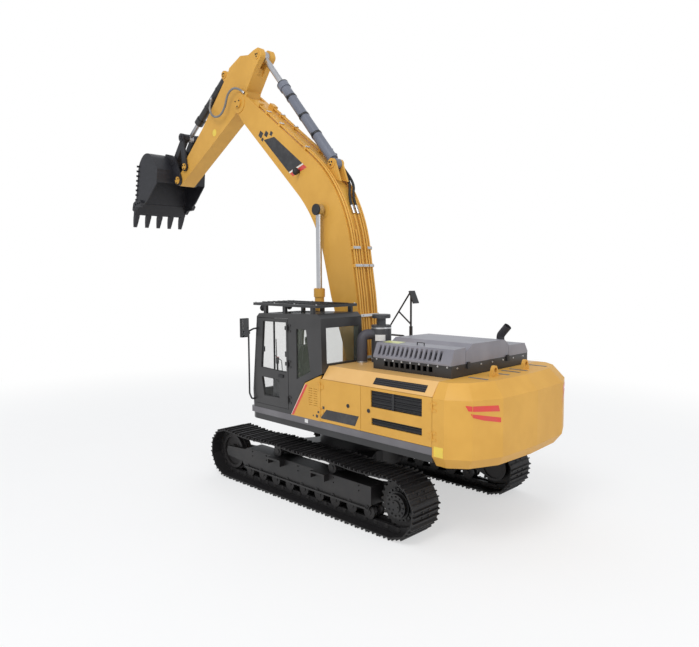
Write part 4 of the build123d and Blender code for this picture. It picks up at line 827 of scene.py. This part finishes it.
def wiper():
    rods("wiper", [[at(1.262, 0.800, 1.83), at(1.222, 0.860, 2.20), at(1.212, 1.020, 2.32)],
                   [at(1.192, 0.990, 2.02), at(1.150, 1.040, 2.62)]], 0.008, PLASTIC, "upper")


def cushion(name, half, place, lean, grooves, look, body):
    """Crowned pad: a rounded block whose sides draw in, with sewn channels across it."""
    mesh = bmesh.new()
    bmesh.ops.create_uvsphere(mesh, u_segments=72, v_segments=40, radius=1.0)
    for vert in mesh.verts:
        p = vert.co
        size = (abs(p.x) ** 4 + abs(p.y) ** 4 + abs(p.z) ** 4) ** 0.25
        x, y, z = p.x / size, p.y / size, p.z / size
        draw = 1.0 - 0.045 * (1 - z * z)
        crown = 1.0 + 0.16 * (1 - x * x) * (1 - y * y) if z > 0 else 1.0
        groove = sum(0.10 * 2.718 ** (-((y - line) / 0.045) ** 2) for line in grooves) if z > 0 else 0.0
        vert.co = Vector((x * draw * half[0], y * draw * half[1], z * (crown - groove) * half[2]))
    turn = Matrix.Rotation(lean, 3, "Y")
    for vert in mesh.verts:
        vert.co = turn @ vert.co + place
    piece = finish(name, mesh, look, body, True)
    return piece


def seat():
    """Operator's seat: pan and suspension in plastic, padded cushion, backrest and headrest, two armrests."""
    middle = 1.025
    mesh = bmesh.new()
    box(mesh, at(0.400, middle - 0.155, 1.507), at(0.700, middle + 0.155, 1.545))
    for i in range(6):
        ring = 0.150 - 0.014 * (i % 2)
        box(mesh, at(0.555 - ring, middle - ring, 1.545 + 0.052 * i),
            at(0.555 + ring, middle + ring, 1.597 + 0.052 * i))
    box(mesh, at(0.335, middle - 0.225, 1.857), at(0.795, middle + 0.225, 1.930))
    solid(mesh, [at(0.335, middle - 0.19, 1.93), at(0.305, middle - 0.19, 1.94),
                 at(0.178, middle - 0.19, 2.60),
                 at(0.215, middle - 0.19, 2.61)], LEFT * 0.38)
    base = finish("seat_base", mesh, PLASTIC, "upper")
    pads = [cushion("seat_cushion", (0.235, 0.228, 0.062), at(0.565, middle, 1.975), radians(-3), (-0.5, 0.5),
                    SEAT,
                    "upper"),
            cushion("seat_back", (0.300, 0.215, 0.058), at(0.300, middle, 2.300), radians(-79), (-0.5, 0.5),
                    SEAT,
                    "upper"),
            cushion("seat_head", (0.085, 0.125, 0.036), at(0.228, middle, 2.660), radians(-80), (), SEAT,
                    "upper")]
    mesh = bmesh.new()
    for side in (-1, 1):
        y = middle + side * 0.212
        solid(mesh, [at(0.30, y - 0.02, 2.150), at(0.58, y - 0.02, 2.170), at(0.58, y - 0.02, 2.212),
                     at(0.29, y - 0.02, 2.200)],
              LEFT * 0.04)
    arms = finish("seat_armrests", mesh, PLASTIC, "upper")
    for piece in [base, arms] + pads:
        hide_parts("operator_seat")


def cab_inside():
    """Display, lever heads and the floor mat."""
    mesh = bmesh.new()
    box(mesh, at(0.985, 0.690, 2.130), at(1.015, 0.880, 2.260))
    box(mesh, at(0.993, 0.770, 1.560), at(1.010, 0.795, 2.132))
    box(mesh, at(0.200, 0.640, 1.5056), at(1.150, 1.410, 1.512))
    finish("display_and_mat", mesh, PLASTIC, "upper")
    spots = [(at(0.715 + 0.012 * i, 1.025 + side * 0.320 + 0.018 * j, 2.362), UP)
             for side in (-1, 1) for i in (0, 2) for j in (-1, 0, 1)]
    SCREWS.grow("lever_buttons", spots, DECAL_RED, "upper", Radius=0.006, Height=0.004)


def guard_screws():
    spots = []
    for x in (-0.400, 0.130, 0.650, 1.165):
        for y in (0.600, 1.465):
            spots.append((at(x, y, 3.300), UP))
    SCREWS.grow("guard_screws", spots, SILVER, "upper", Radius=0.012, Height=0.010)


def air_intake():
    """Silver clamps and the blank plate of the air cleaner, ribs of its cap, and the duct's clamps."""
    can = at(-0.840, 0.420, 0)
    bands = bmesh.new()
    for z in (2.40, 2.905):
        lathe(bands, [(0, z - 0.012), (0.1665, z - 0.012), (0.1675, z - 0.006), (0.1675, z + 0.006),
                      (0.1665, z + 0.012),
                      (0, z + 0.012)], can, UP, 40)
    finish("cleaner_bands", bands, SILVER, "upper", False)
    ribs = [(can + Vector((0.148 * cos(2 * pi * i / 30), 0.148 * sin(2 * pi * i / 30), 3.095)),
             Vector((cos(2 * pi * i / 30), sin(2 * pi * i / 30), 0))) for i in range(30)]
    BARS.grow("cap_ribs", ribs, CAN_GREY, "upper", Length=0.050, Width=0.008, Height=0.006)
    mesh = bmesh.new()
    steps = 8
    for i in range(steps):
        first, second = (radians(95 + 60 * (i + j) / steps) for j in (0, 1))
        corners = [can + Vector((0.1652 * cos(a), 0.1652 * sin(a), z)) for a, z in
                   ((first, 2.70), (second, 2.70), (second, 2.80), (first, 2.80))]
        film(mesh, corners, Vector((cos(first), sin(first), 0)), 0.001)
    finish("cleaner_blank_plate", mesh, DECAL_WHITE, "upper")
    mesh = bmesh.new()
    lathe(mesh, [(0, 2.3425), (0.088, 2.3425), (0.0895, 2.350), (0.0895, 2.362), (0.088, 2.368), (0, 2.368)],
          at(-0.680, 0.715, 0), UP, 40)
    finish("duct_clamp", mesh, SILVER, "upper", False)


# ---- boom, arm and bucket ------------------------------------------------------------------------

BOOM_FACE = 0.245
BOOM_FILM = [(2.440, 6.440), (2.110, 6.455), (1.290, 5.850), (1.689, 5.729)]
BOOM_WHITE = [(1.284, 5.846), (1.256, 5.826), (1.653, 5.703), (1.683, 5.725)]
BOOM_RED = [(1.250, 5.822), (1.165, 5.760), (1.560, 5.637), (1.646, 5.698)]
BOOM_SQUARES = [(2.530, 6.560, 0.058), (2.355, 6.545, 0.050), (2.200, 6.530, 0.040), (2.480, 6.455, 0.030)]


def tilted_square(mesh, x, z, half, y):
    """Square set along the boom."""
    u, v = Vector((0.8026, 0, 0.5966)) * half, Vector((-0.5966, 0, 0.8026)) * half
    centre = at(x, y, z)
    film(mesh, [centre - u - v, centre + u - v, centre + u + v, centre - u + v], LEFT)


def boom_eye_caps():
    """Black seals on both sides of the boom cylinders' upper eyes."""
    mesh = bmesh.new()
    for side in (-1, 1):
        lathe(mesh, [(0, 0.0005), (0.098, 0.0005), (0.102, 0.004), (0.102, 0.009), (0.090, 0.013),
                     (0, 0.013)],
              at(0.735, side * 0.420, 4.945), LEFT * side, 40)
    finish("boom_eye_caps", mesh, PLASTIC, "boom_rods", False)


def boom_films():
    for name, points, look in (("boom_film", BOOM_FILM, DECAL_BLACK),
                               ("boom_white_line", BOOM_WHITE, DECAL_WHITE),
                               ("boom_red_stripe", BOOM_RED, DECAL_RED)):
        mesh = bmesh.new()
        film(mesh, on_side(points, BOOM_FACE), LEFT)
        if look is DECAL_BLACK:
            for spot in BOOM_SQUARES:
                tilted_square(mesh, *spot, BOOM_FACE)
        finish(name, mesh, look, "boom")
    mesh = bmesh.new()
    lathe(mesh, [(0, LIFT), (0.075, LIFT), (0.075, LIFT + FILM), (0, LIFT + FILM)], at(4.253, 0.185, 6.868),
          LEFT)
    finish("arm_blank_sticker", mesh, DECAL_YELLOW, "arm")


# pins as (x, z, outer face, circle of screws, body), each on both sides
PIN_CAPS = [
    (3.250, 7.303, 0.290, 0.072, "boom"),
    (-0.090, 1.950, 0.313, 0.040, "upper"),
    (5.740, 5.990, 0.265, 0.062, "arm"),
    (5.445, 6.275, 0.251, 0.052, "arm"),
    (5.974, 6.463, 0.261, 0.034, "bucket"),
    (5.556, 6.958, 0.253, 0.032, "rocker"),
    (0.735, 4.945, 0.420, 0.055, "boom_rods"),
    (0.640, 5.790, 0.140, 0.034, "boom"),
]
LUG_SCREWS = [(2.696, 8.155, 0.201, 0.030, "arm"), (3.965, 8.055, 0.129, 0.032, "arm")]


def pin_screws():
    by_body = {}
    for x, z, face, radius, body in PIN_CAPS + LUG_SCREWS:
        for side in (-1, 1):
            out = LEFT * side
            by_body.setdefault(body, []).extend(circle(at(x, side * face, z), out, radius, 3, 0.5))
    for body, spots in by_body.items():
        SCREWS.grow(body + "_pin_screws", spots, SILVER if body == "boom_rods" else CHAIN, body, Radius=0.012,
                    Height=0.010)


def along(base, towards, distance, y=0.0):
    """Place on the line between two pins, by distance from the first."""
    run = hypot(towards[0] - base[0], towards[1] - base[1])
    return at(base[0] + (towards[0] - base[0]) * distance / run, y,
              base[1] + (towards[1] - base[1]) * distance / run)


ARM_CYL = ((0.640, 5.790), (2.696, 8.155))
BUCKET_CYL = ((3.965, 8.055), (5.556, 6.958))
BOOM_CYL = ((0.730, 1.460), (0.735, 4.945))


def band(mesh, place, axis, radius, width, thick):
    """Ring round a barrel."""
    half = width / 2
    profile = [(radius, -half), (radius + thick, -half), (radius + thick + 0.001, 0), (radius + thick, half),
               (radius, half)]
    turn = axis.to_track_quat("Z", "Y")
    sides = 40
    rings = [[mesh.verts.new(place + turn @ Vector((r * cos(2 * pi * i / sides), r * sin(2 * pi * i / sides),
                                                    h)))
              for i in range(sides)] for r, h in profile]
    for k in range(len(rings)):
        lower, upper = rings[k], rings[(k + 1) % len(rings)]
        for i in range(sides):
            j = (i + 1) % sides
            mesh.faces.new((lower[i], lower[j], upper[j], upper[i]))


def cylinder_trim():
    """Clamp bands with ears, gland rings and their screws, and the pipes along the barrels."""
    axis = (along(*ARM_CYL, 1.0) - along(*ARM_CYL, 0.0)).normalized()
    across = axis.cross(LEFT).normalized()
    mesh = bmesh.new()
    for distance in (0.78, 1.30, 1.85):
        place = along(*ARM_CYL, distance)
        band(mesh, place, axis, 0.0982, 0.045, 0.007)
        for side in (-1, 1):
            ear = place + LEFT * (side * 0.118)
            solid(mesh, [ear - axis * 0.02 - across * 0.022 - LEFT * 0.016,
                         ear + axis * 0.02 - across * 0.022 - LEFT * 0.016,
                         ear + axis * 0.02 + across * 0.022 - LEFT * 0.016,
                         ear - axis * 0.02 + across * 0.022 - LEFT * 0.016],
                  LEFT * 0.032)
    band(mesh, along(*ARM_CYL, 2.262), axis, 0.1142, 0.014, 0.004)
    finish("arm_cylinder_bands", mesh, BLACK, "arm_barrel")
    pipe = [along(*ARM_CYL, 0.30, -0.125), along(*ARM_CYL, 2.05, -0.125), along(*ARM_CYL, 2.16, -0.100)]
    rods("arm_cylinder_pipes", [pipe], 0.013, BARREL_GREY, "arm_barrel")
    SCREWS.grow("arm_gland_screws", circle(along(*ARM_CYL, 2.272), axis, 0.090, 12), BLACK, "arm_barrel",
                Radius=0.010, Height=0.010)
    axis = (along(*BUCKET_CYL, 1.0) - along(*BUCKET_CYL, 0.0)).normalized()
    mesh = bmesh.new()
    for distance in (0.42, 0.95):
        band(mesh, along(*BUCKET_CYL, distance), axis, 0.0882, 0.040, 0.006)
    finish("bucket_cylinder_bands", mesh, BLACK, "bucket_barrel")
    SCREWS.grow("bucket_gland_screws", circle(along(*BUCKET_CYL, 1.445), axis, 0.082, 12), BLACK,
                "bucket_barrel",
                Radius=0.009, Height=0.009)
    mesh = bmesh.new()
    spots = []
    for side in (-1, 1):
        y = side * 0.352
        axis = (along(*BOOM_CYL, 1.0) - along(*BOOM_CYL, 0.0)).normalized()
        for distance in (0.55, 1.25):
            band(mesh, along(*BOOM_CYL, distance, y), axis, 0.0862, 0.040, 0.006)
        spots += circle(along(*BOOM_CYL, 2.060, y), axis, 0.082, 12)
    finish("boom_cylinder_bands", mesh, YELLOW, "boom_barrels")
    SCREWS.grow("boom_gland_screws", spots, YELLOW, "boom_barrels", Radius=0.009, Height=0.009)


# ---- pipes and hoses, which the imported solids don't have -----------------------------------------

BACK = [(3.150, 7.510), (0.208, 5.323), (-0.098, 3.421), (-0.250, 1.990)]     # boom's back, tip to foot
BACK_BENDS = (2.600, 0.700)
PIPE_RISE = 0.038
PIPE_RADIUS = 0.017
PIPE_START = 0.660          # down the straight top from the tip
CLAMP_HALF = 0.030
# each pipe's place across the boom, and the height that its upper end is cut at, or none
PIPES = [(0.205, None), (0.150, None), (0.085, 4.70), (0.020, 4.94), (-0.085, 4.94), (-0.150, None),
         (-0.205, None)]
# clamp blocks as (straight run of the back, distance from the run's upper end, low y, high y)
CLAMPS = [(0, 0.96, 0.12, 0.235), (0, 0.96, -0.235, -0.12), (0, 1.45, 0.12, 0.235), (0, 1.45, -0.235, -0.12),
          (0, 2.37, 0.12, 0.235), (0, 2.37, -0.235, -0.12), (1, 1.097, -0.235, -0.12),
          (1, 1.097, 0.055, 0.235),
          (1, 1.415, -0.235, -0.12), (1, 1.415, -0.106, 0.045), (1, 1.415, 0.055, 0.235),
          (2, 0.366, -0.235, 0.235),
          (2, 1.097, -0.235, 0.235)]


def flat(a, b):
    """Unit run from one place of the boom's back to the next, and its outward normal."""
    run = Vector((b[0] - a[0], b[1] - a[1])).normalized()
    return run, Vector((run.y, -run.x))


def raised(rise):
    """The boom's back moved outward."""
    pairs = [flat(a, b) for a, b in zip(BACK, BACK[1:])]
    points = [Vector(BACK[0]) + pairs[0][1] * rise]
    for corner, (_, first), (_, second) in zip(BACK[1:-1], pairs, pairs[1:]):
        points.append(Vector(corner) + (first + second) * (rise / (1 + first.dot(second))))
    return points + [Vector(BACK[-1]) + pairs[-1][1] * rise]


def bent(points, radii, steps=14):
    """Rigid pipe's centre line with an arc at each inner corner."""
    line = [points[0]]
    for before, here, after, radius in zip(points, points[1:], points[2:], radii):
        come, go = (here - before).normalized(), (after - here).normalized()
        turn = come.angle(go)
        reach = radius * tan(turn / 2)
        centre = here + (go - come).normalized() * (radius / cos(turn / 2))
        first, last = here - come * reach - centre, here + go * reach - centre
        for k in range(steps + 1):
            share = k / steps
            line.append(centre + (first * sin((1 - share) * turn) + last * sin(share * turn)) / sin(turn))
    return line + [points[-1]]


def slab(mesh, run, distance, half, rise, high, low_y, high_y):
    """Block on one straight run of the back."""
    along_run, out = flat(BACK[run], BACK[run + 1])
    middle = Vector(BACK[run]) + along_run * distance
    corners = [middle - along_run * half + out * rise, middle + along_run * half + out * rise,
               middle + along_run * half + out * high, middle - along_run * half + out * high]
    solid(mesh, [at(p.x, low_y, p.y) for p in corners], LEFT * (high_y - low_y))


def boom_pipes():
    """Seven pipes down the boom's back, their clamps with silver straps, upper blocks and the hose's elbow."""
    points = raised(PIPE_RISE)
    run = (points[1] - points[0]).normalized()
    points[0] = points[0] + run * PIPE_START
    points[3] = points[2].lerp(points[3], 0.8)
    line = bent(points, [bend + PIPE_RISE for bend in BACK_BENDS])
    lines = []
    for y, top in PIPES:
        kept = [p for p in line if top is None or p.y <= top]
        lines.append([at(p.x, y, p.y) for p in kept])
    rods("boom_pipe_runs", lines, PIPE_RADIUS, YELLOW, "boom")
    blocks, straps, spots = bmesh.new(), bmesh.new(), []
    high = PIPE_RISE + 0.024
    for run_index, distance, low, top in CLAMPS:
        slab(blocks, run_index, distance, CLAMP_HALF, 0.0005, high, low, top)
        slab(straps, run_index, distance, 0.022, high + 0.0003, high + 0.004, low, top)
        along_run, out = flat(BACK[run_index], BACK[run_index + 1])
        face = Vector(BACK[run_index]) + along_run * distance + out * (high + 0.004)
        for share in (0.15, 0.85):
            spots.append((at(face.x, low + (top - low) * share, face.y), Vector((out.x, 0, out.y))))
    for side in (-1, 1):
        low, top = sorted((side * 0.125, side * 0.235))
        slab(blocks, 0, PIPE_START - 0.070, 0.080, 0.0005, 0.085, low, top)
    slab(blocks, 0, 0.153, 0.035, 0.0005, 0.056, 0.200, 0.2445)
    finish("pipe_clamps", blocks, YELLOW, "boom")
    finish("pipe_straps", straps, SILVER, "boom")
    SCREWS.grow("strap_screws", spots, SILVER, "boom", Radius=0.010, Height=0.010)
    rods("boom_hose_stubs", [[at(0.159, y, 4.860), at(0.205, y, 4.960)] for y in (0.020, -0.085)], 0.027,
         SILVER, "boom")
    rods("arm_cylinder_ports", [[at(x, -0.080, z + 0.046), at(x, -0.150, z + 0.040), at(x, -0.150, z)]
                                for x, z in ((0.790, 5.955), (0.900, 6.060))], 0.027, BARREL_GREY,
                                "arm_barrel")
    rods("bucket_cylinder_port", [[at(4.470, 0.104, 7.662), at(4.476, 0.070, 7.690)]], 0.026, BARREL_GREY,
         "bucket_barrel")


# routes' points in metres from the swing axis, diameter, look, and the body each rides on
HOSES = {
    "boom_hose_1": ([(0.790, -0.150, 5.955), (0.742, -0.168, 5.805), (0.576, -0.168, 5.633),
                     (0.420, -0.142, 5.433),
                     (0.288, 0.020, 5.142), (0.205, 0.020, 4.960)], 0.048, RUBBER, "boom"),
    "boom_hose_2": ([(0.900, -0.150, 6.060), (0.845, -0.205, 5.908), (0.678, -0.227, 5.750),
                     (0.364, -0.203, 5.409),
                     (0.304, -0.085, 5.178), (0.205, -0.085, 4.960)], 0.048, RUBBER, "boom"),
    "arm_hose": ([(3.055, 0.246, 7.470), (3.240, 0.300, 7.632), (3.530, 0.318, 7.570), (3.650, 0.318, 7.260),
                  (3.850, 0.318, 7.120), (4.140, 0.300, 7.170), (4.310, 0.262, 7.360), (4.430, 0.160, 7.515),
                  (4.470, 0.104, 7.662)], 0.044, SLEEVE, "arm"),
}


def hose_curve(name, points, radius):
    curve = bpy.data.curves.new(name, "CURVE")
    curve.dimensions = "3D"
    curve.bevel_depth = radius
    curve.bevel_resolution = 4
    curve.resolution_u = 12
    curve.use_fill_caps = True
    spline = curve.splines.new("NURBS")
    spline.points.add(len(points) - 1)
    for slot, point in zip(spline.points, points):
        slot.co = (*at(*point), 1.0)
    spline.order_u = 3
    spline.use_endpoint_u = True
    return curve


def hoses():
    """The hoses that show, each on its own spline, with their crimped ferrules."""
    for name, (points, diameter, look, body) in HOSES.items():
        curve = hose_curve(name, points, diameter / 2)
        curve.materials.append(look)
        piece = bpy.data.objects.new(name, curve)
        bpy.context.scene.collection.objects.link(piece)
        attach(piece, body)
        bare = bpy.data.objects.new(name + "_centre", hose_curve(name + "_centre", points, 0.0))
        bpy.context.scene.collection.objects.link(bare)
        centre = bpy.data.meshes.new_from_object(bare.evaluated_get(bpy.context.evaluated_depsgraph_get()))
        bpy.data.objects.remove(bare)
        tuple(at(*points[0]))
        mesh = bmesh.new()
        radius = diameter / 2
        for place, ahead in ((at(*points[0]), at(*points[1])), (at(*points[-1]), at(*points[-2]))):
            lathe(mesh, [(0, 0.0), (radius + 0.003, 0.0), (radius + 0.006, 0.010), (radius + 0.006, 0.022),
                         (radius + 0.003, 0.028), (radius + 0.006, 0.034), (radius + 0.006, 0.050),
                         (0, 0.062)],
                  place, (ahead - place).normalized(), 28)
        finish(name + "_ferrules", mesh, SILVER, body, False)


# ---- bucket --------------------------------------------------------------------------------------

TOOTH_LINE = radians(-36.1)
TOOTH_YS = [-0.620, -0.310, 0.0, 0.310, 0.620]


def bucket_at(u, v, y):
    """Place in the bucket's own plane: u from its pin to the tooth tips, v to its back."""
    return at(5.740 + u * cos(TOOTH_LINE) - v * sin(TOOTH_LINE), y,
              5.990 + u * sin(TOOTH_LINE) + v * cos(TOOTH_LINE))


def bucket_trim():
    """Screws of the side cutters and the retaining pins of the teeth."""
    spots, pins = [], []
    for side in (-1, 1):
        for u, v in ((1.030, 0.150), (1.120, 0.205), (1.215, 0.255), (1.320, 0.262)):
            spots.append((bucket_at(u, v, side * 0.745), LEFT * side))
    for y in TOOTH_YS:
        for side in (-1, 1):
            pins.append((bucket_at(1.530, 0.175, y + side * 0.056), LEFT * side))
    SCREWS.grow("cutter_screws", spots, TOOTH_STEEL, "bucket", Radius=0.018, Height=0.014)
    BOSSES.grow("tooth_pins", pins, CHAIN, "bucket", Radius=0.015, Height=0.004)


# ---- floor, light, camera ------------------------------------------------------------------

def stage():
    """Pale floor that fades to the white background and keeps the shadow near the machine."""
    look = Look("floor_paint", roughness=0.85)
    grain = look.place.noise(0.6, 3.0)
    look.vary(base_color=grain.mix((0.87, 0.87, 0.87), (0.9, 0.9, 0.9)))
    tree = look.material.node_tree
    rays = tree.nodes.new("ShaderNodeLightPath")
    camera_, glossy, through = (Term(tree, rays.outputs[key]) for key in
                                ("Is Camera Ray", "Is Glossy Ray", "Is Transmission Ray"))
    seen = camera_.math("MAXIMUM", glossy.math("MAXIMUM", through))
    far = (look.x * look.x + look.y * look.y).step(20.0, 220.0)
    share = seen * (far * 0.45 + 0.55)
    white = look.place.node("ShaderNodeEmission", inputs={"Color": (1.0, 1.0, 1.0, 1.0), "Strength": 1.0})
    both = look.place.node("ShaderNodeMixShader", inputs={0: share, 2: white})
    tree.links.new(look.shader.outputs[0], both.socket.node.inputs[1])
    tree.links.new(both.socket, tree.nodes["Material Output"].inputs["Surface"])
    mesh = bpy.data.meshes.new("floor")
    half = 90.0
    mesh.from_pydata([(-half, -half, 0), (half, -half, 0), (half, half, 0), (-half, half, 0)], [],
                     [(0, 1, 2, 3)])
    floor = bpy.data.objects.new("floor", mesh)
    floor.data.materials.append(look.material)
    bpy.context.scene.collection.objects.link(floor)


def world():
    made = bpy.data.worlds.new("studio")
    made.use_nodes = True
    bpy.context.scene.world = made
    tree = made.node_tree
    soft = tree.nodes["Background"]
    soft.inputs[0].default_value = (0.93, 0.96, 1.0, 1.0)
    soft.inputs[1].default_value = 0.72
    white = tree.nodes.new("ShaderNodeBackground")
    white.inputs[0].default_value = (1.0, 1.0, 1.0, 1.0)
    white.inputs[1].default_value = 1.0
    path = tree.nodes.new("ShaderNodeLightPath")
    pick = tree.nodes.new("ShaderNodeMixShader")
    camera_, glossy, through = (Term(tree, path.outputs[key]) for key in
                                ("Is Camera Ray", "Is Glossy Ray", "Is Transmission Ray"))
    tree.links.new(camera_.math("MAXIMUM", through).socket, pick.inputs[0])
    tree.links.new(soft.outputs[0], pick.inputs[1])
    tree.links.new(white.outputs[0], pick.inputs[2])
    tree.links.new(pick.outputs[0], tree.nodes["World Output"].inputs[0])


def lamp(name, place, target, size, power):
    light = bpy.data.lights.new(name, "AREA")
    light.size = size
    light.energy = power
    body = bpy.data.objects.new(name, light)
    body.location = place
    body.rotation_euler = (Vector(target) - Vector(place)).to_track_quat("-Z", "Y").to_euler()
    bpy.context.scene.collection.objects.link(body)


CAMERA_PLACE = (-9.679, 8.219, 3.826)
CAMERA_YAW = radians(45.34)       # from forward towards the right of the machine
CAMERA_DOWN = radians(4.66)
CAMERA_ROLL = radians(-0.29)


def camera():
    ahead = Vector((cos(CAMERA_YAW) * cos(CAMERA_DOWN), -sin(CAMERA_YAW) * cos(CAMERA_DOWN),
                    -sin(CAMERA_DOWN)))
    right = Vector((-sin(CAMERA_YAW), -cos(CAMERA_YAW), 0.0))
    up = right.cross(ahead)
    right, up = (right * cos(CAMERA_ROLL) + up * sin(CAMERA_ROLL),
                 up * cos(CAMERA_ROLL) - right * sin(CAMERA_ROLL))
    lens = bpy.data.cameras.new("camera")
    lens.sensor_width = 36.0
    lens.lens = 32.73
    lens.clip_end = 300.0
    body = bpy.data.objects.new("camera", lens)
    turn = Matrix((right, up, -ahead)).transposed().to_4x4()
    body.matrix_world = Matrix.Translation(CAMERA_PLACE) @ turn
    bpy.context.scene.collection.objects.link(body)
    bpy.context.scene.camera = body


tracks()
running_gear()
side_films()
counterweight_films()
grilles()
locks()
hood_trim()
door_fittings()
lamps()
mirrors()
wiper()
seat()
cab_inside()
guard_screws()
air_intake()
boom_eye_caps()
boom_films()
pin_screws()
cylinder_trim()
boom_pipes()
hoses()
bucket_trim()
stage()
world()
lamp("key", (-7.0, 13.0, 17.0), (0.0, 0.0, 2.5), 9.0, 1500.0)
lamp("fill", (-18.0, 0.0, 8.0), (-1.0, 0.0, 2.5), 9.0, 350.0)
lamp("rim", (10.0, -9.0, 14.0), (0.0, 0.0, 3.0), 8.0, 260.0)
camera()
bpy.context.scene.view_settings.view_transform = "Standard"
